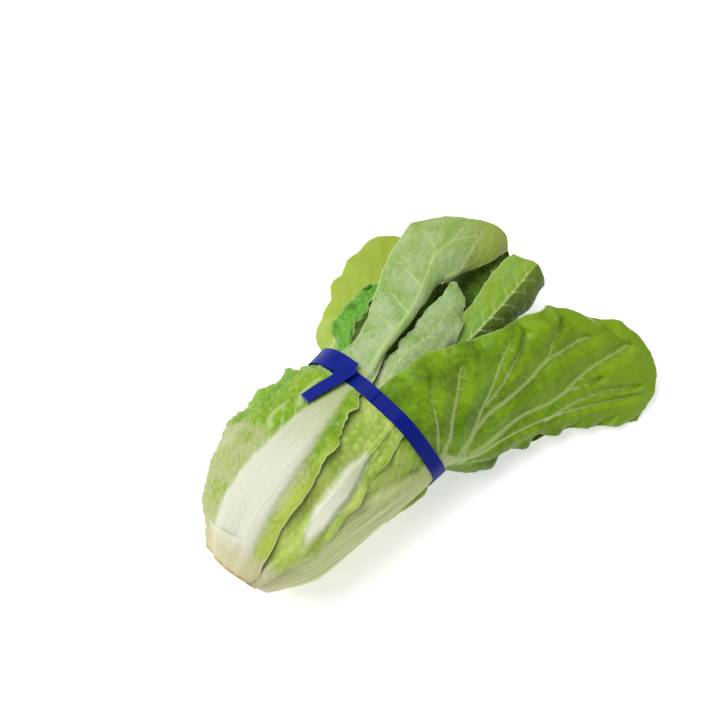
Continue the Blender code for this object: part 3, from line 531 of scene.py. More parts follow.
def cover_share(leaf, x, angle):
    """Where a field cell lies across the leaf, from -1 at its right margin to 1 at its left one."""
    off = np.mod(angle - read(leaf.facing, x) + 180, 360) - 180
    return np.radians(off) * through(HEAD_KNOTS, HEAD_RADIUS, x) / half_width(leaf, x, off)


def covered_by(leaf, x, angle):
    inside = (x > leaf.start - FIELD_STEP) & (x < leaf.end + 2 * FIELD_STEP)
    return (np.abs(cover_share(leaf, x, angle)) < 1.03) & inside


def add_to_field(leaf, field, rest):
    """The field once the leaf lies on it."""
    x, angle = field_grid()
    share = np.clip(cover_share(leaf, x, angle), -1, 1)
    top = rest + ruffle_lift(leaf, x, share) + thickness(leaf, x, np.abs(share) * half_width(leaf, x, share))
    return np.where(covered_by(leaf, x, angle), np.maximum(field, top), field)


def packed_head():
    """What each leaf rests on, how far each place of it is covered by later leaves, and the whole field."""
    field = core_radius(*field_grid())
    rests, covers = {}, {}
    for leaf in LEAVES:
        rest = settled(field)
        rests[leaf.name] = spread(rest, leaf.even, np.mean) + (LEAF_GAP if leaf.even > 1 else 0)
        field = add_to_field(leaf, field, rest)
    above = np.zeros(field.shape, bool)
    for leaf in reversed(LEAVES):
        covers[leaf.name] = spread(above.astype(float), 2, np.mean)
        above |= covered_by(leaf, *field_grid())
    return rests, covers, field


def laid_on_head(leaf, rest, x, v):
    """Points of a leaf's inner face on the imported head, and their angles."""
    radius = through(HEAD_KNOTS, HEAD_RADIUS, x)
    angle = read(leaf.facing, x) + np.degrees(v * half_width(leaf, x, v) / radius)
    return polar(x, angle, look_up(rest, x, angle) + ruffle_lift(leaf, x, v)), angle


# Leaves past the tape


def bow(width, bend, v):
    """Sideways and outward run at a share v of a half blade of that width that turns through the bend."""
    turn = np.radians(np.where(np.abs(bend) < 0.5, 0.5, bend))
    return width * np.sin(turn * v) / turn, -width * (1 - np.cos(turn * v)) / turn


def station_rows(stations, v):
    """Each station's row of points across the leaf."""
    data = np.array(stations)
    ribs, up = data[:, :3], np.array((0, 0, 1))
    side = np.cross(up, unit(np.gradient(ribs, axis=0) * (1, 1, 0)))
    rows = []
    for rib, level, (facing, left, right, bend_left, bend_right) in zip(ribs, side, data[:, 3:]):
        turned = math.radians(facing)
        across = level * math.cos(turned) - up * math.sin(turned)
        outward = level * math.sin(turned) + up * math.cos(turned)
        run, rise = bow(np.where(v > 0, left, right), np.where(v > 0, bend_left, bend_right), np.abs(v))
        rows.append(rib + np.outer(run * np.sign(v), across) + np.outer(rise, outward))
    return np.array(rows)


def grid_normals(points):
    """Outward normals of a grid of points, with rows that run along a leaf and columns from right to left."""
    return unit(np.cross(np.gradient(points, axis=0), np.gradient(points, axis=1)))


def free_rows(leaf, lead, v):
    """A leaf's rows from the lead rows below the tape to its tip, and how far along that part each one is."""
    control = np.concatenate([lead, station_rows(leaf.stations, v)])
    knots = line_run(control[:, np.abs(v).argmin()])
    first = knots[max(len(lead) - 1, 0)]
    share = np.linspace(0, 1, round((knots[-1] - first) / leaf.step) + 1)[1:, None]
    lag = smoothstep(0.35, 1.0, share) * through(*zip(*leaf.tip), v)
    places = first + share * (knots[-1] - first) - lag
    rows = np.stack([through(knots, control[:, k], places[:, k]) for k in range(len(v))], axis=1)
    wave = np.sin(2 * math.pi * leaf.waves * share + leaf.phase + SIDE_PHASE * np.sign(v))
    margin = smoothstep(0.5, 1.0, np.abs(v)) * smoothstep(0.0, 0.35, share)
    return rows + grid_normals(rows) * (leaf.free_ruffle * wave * margin)[..., None], share


# The finish of a leaf's shape


def run_lengths(points, axis):
    """How far each point of a grid is along its line of points."""
    steps = np.linalg.norm(np.diff(points, axis=axis), axis=2)
    first = np.zeros_like(points[..., 0].take([0], axis=axis))
    return np.concatenate([first, np.cumsum(steps, axis=axis)], axis=axis)


def laid_out(leaf, rest, cover, v):
    """A leaf's plain grid of points, and for them x below the tape, how far later leaves cover them, and how
    far along the free part their row is."""
    base, x, hidden = np.empty((0, len(v), 3)), np.empty((0, len(v))), np.empty((0, len(v)))
    if rest is not None:
        x = np.linspace(leaf.start, leaf.end, round((leaf.end - leaf.start) / leaf.step) + 1)[:, None]
        x = x - leaf.skew * v * smoothstep(0.4, 1.0, x / leaf.end)
        base, angle = laid_on_head(leaf, rest, x, v)
        hidden = look_up(cover, x, angle)
    joint, free = len(base), np.zeros((len(base), 1))
    if leaf.stations:
        lead = laid_on_head(leaf, rest, np.array([[LEAD_X], [leaf.end]]) + 0 * v, v)[0] if joint else base
        rows, share = free_rows(leaf, lead, v)
        base, free = np.concatenate([base, rows]), np.concatenate([free, share])
        x = np.concatenate([x, np.full(rows.shape[:2], leaf.end)])
        hidden = np.concatenate([hidden, np.zeros(rows.shape[:2])])
        for _ in range(JOIN_TIMES if joint else 0):
            near = base[joint - JOIN_REACH - 1 : joint + JOIN_REACH + 1]
            base[joint - JOIN_REACH : joint + JOIN_REACH] = (near[:-2] + 2 * near[1:-1] + near[2:]) / 4
    return base, x, hidden, free


def with_margin(leaf, base, v, edge_run, across, frill, hidden, free):
    """The grid once its outline swings in and out, with small teeth."""
    depth = bpy.context.scene.bok_choy_shape.margin_depth
    swing = leaf.lobes * wander(edge_run / LOBE, leaf.seed)
    swing = swing + leaf.teeth * wander(edge_run / TOOTH, leaf.seed + 1)
    swing = swing * frill * depth * smoothstep(0.5, 1.0, np.abs(v)) ** 2
    to_side = unit(np.gradient(base, axis=1)) * np.sign(v)[None, :, None]
    base = base + to_side * (swing * (1 - 0.7 * hidden))[..., None]
    if leaf.stations:
        swing = leaf.lobes * wander(across / LOBE + 40, leaf.seed)
        swing = swing + leaf.teeth * wander(across / TOOTH, leaf.seed + 2)
        swing = leaf.calm * swing * depth * smoothstep(0.8, 1.0, free) ** 2
        base = base + unit(np.gradient(base, axis=0)) * swing[..., None]
    return base


def white_width(leaf, x, free, past):
    """Half the width of each row's white stalk, or of its pale midrib past the tape."""
    midrib = leaf.midrib * (1 - free) ** 0.6
    if not leaf.petiole:
        return midrib
    white = leaf.stripe or leaf.petiole
    if leaf.midrib > 0:
        midrib = midrib + max(read(white, leaf.end) - leaf.midrib, 0) * (1 - past) ** 2
    return np.where(free > 0, midrib, read(white, x))


def vein_line(start, side, turns, length):
    """A side vein as (along, across) points: it leaves the rib at the first angle and ends at the last."""
    turn = np.radians(np.linspace(*turns, max(int(length / VEIN_STEP), 3)))
    steps = np.stack([np.cos(turn) * VEIN_STEP, np.sin(turn) * VEIN_STEP * side], axis=1)
    return start + np.concatenate([[(0, 0)], np.cumsum(steps, axis=0)])


def venation(leaf, along, across, stalk):
    """Every vein of a leaf but its rib, as (points, half widths). Each main side vein has short twigs."""
    draw = np.random.default_rng(leaf.seed)
    found, mains, s = [], [], along.min() + VEIN_CLEAR
    for width, points in leaf.veins:
        points = np.array(points) / MM
        run = line_run(points)
        line = through(run, points, np.arange(0, run[-1], VEIN_STEP))
        add_vein(found, line, max(1.5 * width / MM, OWN_VEIN), np.sign(points[-1, 1]), draw)
    while s < min(along.max() - VEIN_CLEAR, leaf.side_veins):
        for side in (1, -1):
            start = s + side * 0.25 * VEIN_GAP + draw.uniform(-0.1, 0.1) * VEIN_GAP
            first = VEIN_TURN[0] + draw.uniform(-5, 5)
            mains.append((start, side, (first, VEIN_TURN[1] + draw.uniform(-6, 6))))
        s += VEIN_GAP * draw.uniform(0.85, 1.15)
    rib = along[:, along.shape[1] // 2]
    reach = {1: across[:, -1], -1: -across[:, 0]}
    for start, side, turns in mains:
        foot = 0.8 * np.interp(start, rib, stalk)
        line = vein_line((start, side * foot), side, turns, SIDE_VEIN_LENGTH)
        limit = np.interp(line[:, 0], rib, reach[side])
        inside = (np.abs(line[:, 1]) < limit * 0.97) & (line[:, 0] < rib[-1])
        line = line[: max(int(np.argmin(inside)) if not inside.all() else len(line), 3)]
        add_vein(found, line, SIDE_VEIN, side, draw)
    return found


def add_vein(found, line, width, side, draw):
    """A side vein that thins outwards, with short twigs on both sides."""
    found.append((line, np.linspace(width, width * 0.4, len(line))))
    for k in range(TWIG_EVERY - 1, len(line) - 4, TWIG_EVERY):
        way = line[k + 1] - line[k]
        turn = math.degrees(math.atan2(side * way[1], way[0]))
        for lean in (draw.uniform(36, 52), -draw.uniform(36, 52)):
            length = TWIG_LENGTH * draw.uniform(0.6, 1.1)
            twig = vein_line(line[k], side, (turn + lean, turn + lean * 0.5), length)
            found.append((twig, np.linspace(TWIG, TWIG * 0.5, len(twig))))


def vein_strength(lines, along, across, wider=1):
    """How much of a vein each point is, from 0 to 1. Veins taken wider leave out the twigs."""
    strength = np.zeros(along.shape)
    for line, width in lines:
        if wider > 1 and width[0] <= TWIG:
            continue
        width, reach = width * wider, VEIN_REACH * wider
        low, high = line.min(axis=0) - reach, line.max(axis=0) + reach
        near = (along > low[0]) & (along < high[0]) & (across > low[1]) & (across < high[1])
        if near.any():
            away = np.hypot(along[near][:, None] - line[:, 0], across[near][:, None] - line[:, 1])
            k = away.argmin(axis=1)
            share = np.exp(-((away[np.arange(len(k)), k] / width[k]) ** 2))
            strength[near] = np.maximum(strength[near], share * np.clip(width[k] / SIDE_VEIN, 0, 1) ** 1.5)
    return strength


def leaf_depth(leaf, x, across, free, past):
    """A leaf's thickness, with a stalk that goes over into a midrib past the tape."""
    blade = bpy.context.scene.bok_choy_shape.blade_thickness
    shell, rib = blade, BARE_RIB
    if leaf.petiole:
        shell, rib = thickness(leaf, x, np.abs(across), blade), read(leaf.rib, leaf.end) - blade
    midrib = np.exp(-((across / (FREE_STALK * (1 - 0.6 * free))) ** 2))
    return shell * (1 - past) + (blade + rib * (1 - free) * midrib) * past


def finished_leaf(leaf, rest=None, cover=None):
    """Inner and outer grids of a leaf with all its relief, its map in metres and its marks."""
    shape = bpy.context.scene.bok_choy_shape
    widths = [sum(row[4:6]) for row in leaf.stations] + [a[1] + b[1] for a, b in zip(leaf.left, leaf.right)]
    middle = round(max(widths) / leaf.step / 2)
    v = np.linspace(-1, 1, 2 * middle + 1)
    base, x, hidden, free = laid_out(leaf, rest, cover, v)
    run, across, normals = run_lengths(base, 0), run_lengths(base, 1), grid_normals(base)
    along, across = np.broadcast_to(run[:, [middle]], x.shape), across - across[:, [middle]]
    past = smoothstep(0.0, 0.15, free)
    edge_run = np.where(v > 0, run[:, [-1]], run[:, [0]]) + 0.5 * (v > 0)
    frill = np.where(free > 0, leaf.calm, read(leaf.frill, x))
    base = with_margin(leaf, base, v, edge_run, across, frill, hidden, free)

    half = np.where(v > 0, across[:, [-1]], -across[:, [0]])
    from_tip = run[-1] - run if leaf.stations or leaf.sink else np.full(run.shape, 1.0)
    margin = np.minimum(half - np.abs(across), from_tip)
    stalk = white_width(leaf, x[:, [middle]], free, past)
    off_stalk = np.abs(across) - stalk

    # Waves of the margin.
    loose = smoothstep(0.45, 1.0, np.abs(across) / np.maximum(half, 1e-6))
    crimp = wander(edge_run / CRIMP, leaf.seed + 3) + 0.5 * wander(edge_run / FINE_CRIMP, leaf.seed + 4)
    at_tip = smoothstep(0.82, 1.0, free)
    crimp = crimp * loose * (1 - 0.4 * at_tip) + wander(across / CRIMP + 20, leaf.seed + 5) * at_tip
    wave = leaf.crimp * shape.ruffle * crimp
    clear = smoothstep(*UNDER_TAPE, x)
    below = np.clip(frill * clear * (0.6 * leaf.crimp * loose + wave), 0, np.where(v < 0, *FRILL_RISE))
    lift = np.where(free > 0, leaf.calm * wave, below)

    # Veins, pillows between them and puckers.
    lines = venation(leaf, along, across, stalk[:, 0]) if leaf.vein_height else []
    vein, valley = vein_strength(lines, along, across), vein_strength(lines, along, across, VALLEY)
    warp = 0.35 * swells(along / WARP, across / WARP, leaf.seed + 6)
    border = cells(along / leaf.pucker_size + warp, across / leaf.pucker_size - warp, leaf.seed + 8)
    swell = 0.5 + 0.5 * swells(along / SWELL, across / SWELL, leaf.seed + 9)
    pucker = (0.65 * smoothstep(0.0, 0.75, border) + 0.35 * swell) * (1 - 0.6 * vein)
    on_blade = smoothstep(-0.1, 1.0, off_stalk / 0.004)
    open_part = np.where(free > 0, past, clear)
    lift = lift + leaf.pillow * (1 - valley) * open_part * on_blade * smoothstep(0, 0.015, margin)
    calm = np.where(free > 0, leaf.calm, 1.0)
    lift = lift + calm * leaf.pucker * shape.pucker * pucker * on_blade * smoothstep(0, 0.006, margin)
    sunk = np.maximum(smoothstep(0.3, 1.0, np.abs(v)), 0.3 * smoothstep(0.5, 1.0, x / leaf.end))
    lift = lift * (1 - 0.85 * hidden) - leaf.sink * sunk
    lift = lift - leaf.foot_sink * smoothstep(0.5, 0.95, -v) * smoothstep(*FOOT_SUNK, x)

    # The thickness thins towards the margin and the cut, and carries raised veins and grooves outside.
    depth = leaf_depth(leaf, x, across, free, past)
    depth = EDGE_THICKNESS + (depth - EDGE_THICKNESS) * smoothstep(0, EDGE_WIDTH, margin)
    foot = run[:, [middle]] if leaf.facing else np.full((len(x), 1), 1.0)
    depth = depth * (0.25 + 0.75 * np.sqrt(np.clip(foot / FOOT_ROUND, 0, 1)))
    grooves = GROOVE_DEPTH * wander(across / GROOVE, leaf.seed + 10) * smoothstep(0.0, -0.003, off_stalk)
    relief = leaf.vein_height * shape.vein_height * vein * (1 - 0.8 * hidden) * smoothstep(0, 0.003, margin)
    inner = base + normals * lift[..., None]
    outer = base + normals * (lift + depth + (relief + grooves))[..., None]
    if leaf.on_surface:
        pressed = outer[..., 2] < REST_PRESS
        outer[pressed, 2] = 0
        inner[pressed, 2] = np.maximum(inner[pressed, 2], shape.blade_thickness)
    for points in (inner, outer):
        points[..., 2] = np.maximum(points[..., 2], 0)
        points[..., 0] -= REST_X
    marks = {"off_stalk": off_stalk * MM, "vein": vein, "pucker": pucker, "margin": margin * MM}
    marks |= {"foot": np.broadcast_to(MM * foot, x.shape), "free": np.broadcast_to(free, x.shape)}
    return inner, outer, np.stack([along, across], axis=-1), marks


# Meshes


def to_mesh(bm, name):
    """The finished mesh with its faces outward."""
    bmesh.ops.recalc_face_normals(bm, faces=bm.faces[:])
    mesh = bpy.data.meshes.new(name)
    bm.to_mesh(mesh)
    bm.free()
    return mesh


def joined(meshes):
    """One bmesh of all the meshes, which are then removed."""
    whole = bmesh.new()
    for mesh in meshes:
        whole.from_mesh(mesh)
        bpy.data.meshes.remove(mesh)
    return whole


def add_object(name, data):
    made = bpy.data.objects.new(name, data)
    bpy.context.scene.collection.objects.link(made)
    return made


def mesh_between(name, inner, outer, uv, marks):
    """One closed shape between two grids of points, with its map and its marks."""
    rows, columns = inner.shape[:2]
    bm = bmesh.new()
    order = bm.verts.layers.int.new("order")
    bmesh.ops.create_grid(bm, x_segments=columns - 1, y_segments=rows - 1, size=0.5)
    for vertex in bm.verts:
        row, column = round((vertex.co.y + 0.5) * (rows - 1)), round((vertex.co.x + 0.5) * (columns - 1))
        vertex[order] = row * columns + column
        vertex.co = inner[row, column]
    raised = bmesh.ops.extrude_face_region(bm, geom=bm.faces[:], use_keep_orig=True)
    for item in raised["geom"]:
        if isinstance(item, bmesh.types.BMVert):
            item.co = outer[divmod(item[order], columns)]
    mesh = to_mesh(bm, name)
    place = np.empty(len(mesh.vertices), np.int32)
    mesh.attributes["order"].data.foreach_get("value", place)
    corner = np.empty(len(mesh.loops), np.int32)
    mesh.loops.foreach_get("vertex_index", corner)
    layer = mesh.uv_layers.new(name="leaf")
    layer.uv.foreach_set("vector", uv.reshape(-1, 2)[place[corner]].astype(np.float32).ravel())
    for mark, values in marks.items():
        attribute = mesh.attributes.new(mark, "FLOAT", "POINT")
        attribute.data.foreach_set("value", np.ravel(values)[place].astype(np.float32))
    mesh.attributes.remove(mesh.attributes["order"])
    return mesh


def add_piece(name, mesh, material, node, crease=50):
    """Puts the mesh in the scene as the piece that stands for a CAD node."""
    mesh.materials.clear()
    mesh.materials.append(material)
    mesh.shade_smooth()
    mesh.set_sharp_from_angle(angle=math.radians(crease))
    piece = add_object(name, mesh)
    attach(piece, "root")
    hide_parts(node)


# Materials


class Paint:
    """Builds the nodes of one material. A colour may be given by its name in the settings."""

    def __init__(self, name, roughness, **settings):
        self.material = bpy.data.materials.new(name)
        self.material.use_nodes = True
        self.tree = self.material.node_tree
        self.shader = self.tree.nodes["Principled BSDF"]
        self.shader.inputs["Roughness"].default_value = roughness
        for socket, value in settings.items():
            self.shader.inputs[socket.replace("_", " ").title().replace("Ior", "IOR")].default_value = value

    def feed(self, socket, value):
        if isinstance(value, str):
            value = tuple(getattr(bpy.context.scene.bok_choy_colours, value))
        if isinstance(value, bpy.types.NodeSocket):
            self.tree.links.new(value, socket)
        elif isinstance(value, tuple) and socket.type == "RGBA":
            socket.default_value = (*value[:3], 1)
        else:
            socket.default_value = value

    def node(self, kind, feeds, **settings):
        made = self.tree.nodes.new("ShaderNode" + kind)
        for key, value in settings.items():
            setattr(made, key, value)
        for key, value in feeds.items():
            self.feed(made.inputs[key], value)
        return made

    def mark(self, name):
        return self.node("Attribute", {}, attribute_name=name).outputs["Fac"]

    def place(self, *scale):
        """The leaf's own map, in metres along and across it, or in those parts of a metre."""
        made = self.node("UVMap", {}, uv_map="leaf").outputs["UV"]
        return self.node("Mapping", {"Vector": made, "Scale": (*(scale or (1, 1)), 1)}).outputs["Vector"]

    def noise(self, vector, scale, detail=3.0):
        feeds = {"Vector": vector, "Scale": scale, "Detail": detail, "Roughness": 0.55}
        return self.node("TexNoise", feeds).outputs["Fac"]

    def warped(self, vector, scale):
        """The place with a small sideways shift that differs from place to place."""
        made = self.node("TexNoise", {"Vector": vector, "Scale": scale, "Detail": 1.0}).outputs["Color"]
        shift = self.node("VectorMath", {0: made, 1: (0.5, 0.5, 0.5)}, operation="SUBTRACT").outputs["Vector"]
        shift = self.node("VectorMath", {0: shift, "Scale": 0.004}, operation="SCALE").outputs["Vector"]
        return self.node("VectorMath", {0: vector, 1: shift}, operation="ADD").outputs["Vector"]

    def ramp(self, value, low, high, start=0.0, end=1.0):
        """value from low to high becomes start to end, smoothly."""
        feeds = {"Value": value, "From Min": low, "From Max": high, "To Min": start, "To Max": end}
        return self.node("MapRange", feeds, interpolation_type="SMOOTHSTEP").outputs["Result"]

    def math(self, kind, a, b):
        return self.node("Math", {0: a, 1: b}, operation=kind).outputs[0]

    def times(self, a, b):
        return self.math("MULTIPLY", a, b)

    def scaled(self, a, factor, more):
        """a times the factor, and more."""
        return self.node("Math", {0: a, 1: factor, 2: more}, operation="MULTIPLY_ADD").outputs[0]

    def mix(self, share, a, b):
        made = self.node("Mix", {}, data_type="RGBA")
        for socket, value in zip((made.inputs[0], made.inputs[6], made.inputs[7]), (share, a, b)):
            self.feed(socket, value)
        return made.outputs[2]

    def finish(self, colour, roughness, height, depth, strength):
        """The finished material, with a bump of that depth."""
        feeds = {"Height": height, "Distance": depth, "Strength": strength}
        bump = self.node("Bump", feeds).outputs["Normal"]
        for socket, value in (("Base Color", colour), ("Roughness", roughness), ("Normal", bump)):
            self.feed(self.shader.inputs[socket], value)
        return self.material


@dataclass
class Finish:
    """How one kind of leaf looks: the names of its colours, and how strong each trait is, from 0 to 1."""

    light: str
    dark: str
    tip: str  # colour of its outer end
    tip_share: float = 0.0
    bands: tuple = ()  # light and dark colour of its lower parts, and where each ends, in mm, outermost first
    stalk: str = "stalk"
    pale_foot: float = 18.0  # where the blade's own pale foot ends, in mm
    calm: float = 1.0  # how much of the painted shade in the hollows is left past the tape
    right: str = ""  # painted shade on its right side, where that side turns away from the light
    right_border: tuple = (-0.0015, 0.0)  # where that side ends, in metres across
    right_from: float = 0.0  # and where it starts past the tape, from 0 to 1
    crease: tuple = (-0.9, -0.8)  # where it is yellow-green along its right margin below the tape
    veins: float = 0.5  # how pale the side veins are
    net: float = 0.05  # the fine net between them
    hollow_shade: float = 0.15  # how much darker the hollows between its puckers are painted, and their crests lighter: painted shade and light
    margin: float = 0.25  # how pale the line along its margin is
    stalk_green: float = 0.1
    roughness: float = 0.42


FINISHES = {
    "silver": Finish("blade_silver", "blade_pale", "blade_pale", 0.3, margin=0.3),
    "front": Finish(
        "blade_silver", "blade_pale", "blade_fresh", 0.35,
        (
            ("blade_mid", "blade_bright", 146),
            ("blade_wing", "blade_mid", 84),
            ("blade_wing", "blade_fresh", 36),
        ),
        # its right lobe past the tape is painted in shade
        calm=0.2, right="blade_olive", right_border=(-0.036, -0.012), right_from=0.55, veins=0.8, hollow_shade=0.35,
        crease=(-0.027, -0.018), margin=0.6,
    ),
    # the folded leaf's right half is painted in shade
    "mid": Finish("blade_pale", "blade_mid", "blade_fresh", 0.3, right="blade_shade", margin=0.35),
    "light": Finish(
        "blade_quilt", "blade_mid", "blade_mid", 0.0,
        (("blade_quilt", "blade_fresh", 100), ("blade_wing", "blade_yellow", 22)),
        "stalk_bright", 22.0, veins=0.3, net=0.1, hollow_shade=0.25, stalk_green=0.0,
    ),
    "yellow": Finish("blade_yellow", "blade_fresh", "blade_yellow", 0.5, veins=0.25, margin=0.8),
    "bright": Finish("blade_sprig", "blade_bright", "blade_sprig", veins=0.2, hollow_shade=0.5, margin=0.3),
    "green": Finish(
        "blade_green", "blade_deep", "blade_mid", 0.8, (("blade_quilt", "blade_fresh", 128),), "stalk_lime",
        # its lower side, which turns down to the floor, is painted in shade
        40.0, right="blade_dim", right_border=(-0.024, 0.0), right_from=-0.02, veins=0.8, stalk_green=0.7,
        roughness=0.38,
    ),
    # The heart is painted in dark greens, as painted shade for the gaps between the outer leaves where it
    # shows.
    "inner": Finish("blade_deep", "blade_shade", "blade_dim", veins=0.2),
    "cream": Finish("stalk_foot", "stalk_foot", "stalk_foot", veins=0.0, net=0.0, margin=0.0),
}


def leaf_material(leaf):
    """A pale stalk, a mottled blade with veins and a pale margin, and a yellowed foot with a brown cut."""
    look = FINISHES[leaf.finish]
    soft = {"subsurface_weight": 0.12, "subsurface_scale": 0.001, "specular_ior_level": 0.14}
    paint = Paint(leaf.name, look.roughness, **soft)
    paint.shader.inputs["Subsurface Radius"].default_value = (0.6, 1.0, 0.2)
    flat = paint.place()
    patches, mottle = paint.noise(flat, 55.0, 2.0), paint.noise(flat, 300.0)
    free, foot, vein = paint.mark("free"), paint.mark("foot"), paint.mark("vein")

    # The blade, with painted shade in the hollows between its puckers and on a side that turns away from the
    # light.
    # Painted shade and light: the hollows between the puckers are darker and their crests lighter.
    hollow_shade = paint.ramp(free, 0.0, 0.1, look.hollow_shade, look.hollow_shade * look.calm)
    tone = paint.scaled(patches, 1.0, paint.times(mottle, 0.5))
    tone = paint.math("SUBTRACT", tone, paint.times(paint.mark("pucker"), hollow_shade))
    blade = paint.mix(paint.ramp(tone, 0.40, 1.0), look.light, look.dark)
    low = paint.scaled(patches, 40.0, foot)
    for pale, deep, end in look.bands:
        lower = paint.mix(paint.ramp(tone, 0.45, 1.0, 0.0, 0.9), pale, deep)
        blade = paint.mix(paint.ramp(low, end + 8, end + 32), lower, blade)
    across = paint.node("SeparateXYZ", {0: flat}).outputs["Y"]
    crease = paint.times(paint.ramp(across, *look.crease, 0.85, 0.0), paint.ramp(free, 0.0, 0.05, 1.0, 0.0))
    blade = paint.mix(crease, blade, "blade_lime")
    # Painted shade on the side that turns away from the light.
    if look.right:
        side = paint.ramp(across, *look.right_border, 0.9, 0.0)
        side = paint.times(side, paint.ramp(free, look.right_from, look.right_from + 0.2))
        blade = paint.mix(side, blade, look.right)
    outer_end = paint.scaled(patches, 0.5, free)
    blade = paint.mix(paint.ramp(outer_end, 0.55, 1.3, 0.0, look.tip_share), blade, look.tip)
    feeds = {"Vector": paint.warped(flat, 120.0), "Scale": 260.0}
    net = paint.node("TexVoronoi", feeds, feature="DISTANCE_TO_EDGE").outputs["Distance"]
    line = paint.ramp(net, 0.02, 0.16, 1.0, 0.0)
    blade = paint.mix(paint.times(line, look.net), blade, "vein")
    blade = paint.mix(paint.ramp(vein, 0.08, 0.9, 0.0, look.veins), blade, "vein")
    blade = paint.mix(paint.ramp(paint.mark("margin"), 0.3, 1.0, look.margin, 0.0), blade, "margin")

    # The stalk: long fine streaks, greener towards its sides, with an uneven border to the blade.
    streak = paint.noise(paint.place(14.0, 420.0), 1.0)
    fringe = paint.noise(paint.place(110.0, 240.0), 1.0, 4.0)
    fringe = paint.times(paint.scaled(fringe, 5.0, -2.2), paint.ramp(free, 0.0, 0.08, 1.0, 0.1))
    off = paint.scaled(vein, -1.5, paint.math("ADD", paint.mark("off_stalk"), fringe))
    stalk = paint.mix(paint.ramp(streak, 0.35, 0.7, 0.0, 0.5), look.stalk, "stalk_streak")
    tinge = paint.times(paint.ramp(streak, 0.35, 0.65, 0.2, 1.0), look.stalk_green)
    upward = paint.ramp(paint.scaled(patches, 30.0, foot), 80.0, 160.0, 0.0, 0.7)
    stalk = paint.mix(paint.math("MAXIMUM", tinge, upward), stalk, "stalk_green")
    stalk = paint.mix(paint.ramp(off, -4.5, 1.0, 0.0, 0.6), stalk, "stalk_green")
    uneven = paint.scaled(patches, 14.0, foot)
    stalk = paint.mix(paint.ramp(uneven, 14.0, look.pale_foot + 16, 0.8, 0.0), stalk, "stalk_foot")
    stalk = paint.mix(paint.ramp(free, 0.0, 0.12, 0.0, 0.85), stalk, "vein")
    border = (paint.ramp(free, 0.0, 0.1, -3.0, -0.8), paint.ramp(free, 0.0, 0.1, 2.2, 0.6))
    share = paint.ramp(uneven, look.pale_foot, look.pale_foot + 12, 1.0, 0.0)
    colour = paint.mix(paint.math("MAXIMUM", paint.ramp(off, *border, 1.0, 0.0), share), blade, stalk)
    colour = paint.mix(paint.ramp(paint.scaled(mottle, 3.0, foot), 2.1, 4.8, 0.9, 0.0), colour, "cut")
    roughness = paint.scaled(mottle, 0.25, look.roughness - 0.12)
    return paint.finish(colour, roughness, paint.scaled(line, 0.5, mottle), 0.0003, 0.5)


def tape_material():
    paint = Paint("tape", 0.4, specular_ior_level=0.12)
    streak = paint.noise(paint.place(60.0, 2400.0), 1.0)
    worn = paint.noise(paint.place(500.0, 500.0), 1.0, 2.0)
    colour = paint.mix(paint.ramp(streak, 0.3, 0.8, 0.0, 0.5), "tape", "tape_light")
    end = paint.ramp(paint.mark("end"), 0.0, 1.6, 0.85, 0.0)
    colour = paint.mix(paint.times(end, worn), colour, "tape_end")
    return paint.finish(colour, paint.scaled(worn, 0.2, 0.34), streak, 0.00012, 0.6)


def butt_material():
    paint = Paint("cut_end", 0.6, subsurface_weight=0.1, subsurface_scale=0.001)
    made = paint.node("TexCoord", {}).outputs["Object"]
    spot = paint.node("Mapping", {"Vector": made, "Scale": (1, 1, 1)}).outputs["Vector"]
    x = paint.node("SeparateXYZ", {0: spot}).outputs["X"]
    grain, blotch = paint.noise(spot, 420.0, 4.0), paint.noise(spot, 110.0, 2.0)
    pith = paint.mix(paint.ramp(blotch, 0.35, 0.7), "cut", "stalk_foot")
    far = paint.scaled(blotch, 0.004, x)
    colour = paint.mix(paint.ramp(far, -REST_X + 0.002, -REST_X + 0.008), pith, "stalk_foot")
    colour = paint.mix(paint.ramp(grain, 0.55, 0.75, 0.0, 0.5), colour, "cut_dark")
    return paint.finish(colour, paint.ramp(grain, 0.2, 0.8, 0.5, 0.75), grain, 0.0006, 0.7)


# The pieces that aren't leaves


def round_grid(sides, rows, capped):
    """A unit tube along Z with that many rows of points, as the start of a shape round the head's axis."""
    bm = bmesh.new()
    bmesh.ops.create_cone(bm, cap_ends=capped, segments=sides, radius1=1, radius2=1, depth=1)
    lengthwise = [edge for edge in bm.edges if abs(edge.verts[0].co.z - edge.verts[1].co.z) > 0.5]
    bmesh.ops.subdivide_edges(bm, edges=lengthwise, cuts=rows - 2)
    return bm


def round_place(vertex, start, end):
    """How far along the head a point of a round grid is, at which angle, and its share of the radius."""
    x, y, along = vertex.co
    return start + (end - start) * (along + 0.5), math.degrees(math.atan2(x, y)), min(math.hypot(x, y), 1.0)


def tight_ring(field, sides):
    """How far off the axis a band lies that is pulled tight round the head, for evenly spaced angles."""
    first, last = ((TAPE_X + side * TAPE_WIDTH / 2) / FIELD_STEP for side in (-1, 1))
    reach = field[round(first) : round(last) + 1].max(axis=0) + TAPE_GAP
    angle, turns = np.radians(field_grid()[1][0]), np.radians(np.arange(sides) * 360 / sides)
    points = np.stack([np.sin(angle), np.cos(angle)], axis=1) * reach[:, None]
    facing = np.stack([np.sin(turns), np.cos(turns)], axis=1)
    tangents = (facing @ points.T).max(axis=1)
    met = facing @ facing.T
    nearby = met > 0.3
    return np.where(nearby, tangents / np.where(nearby, met, 1), np.inf).min(axis=1)


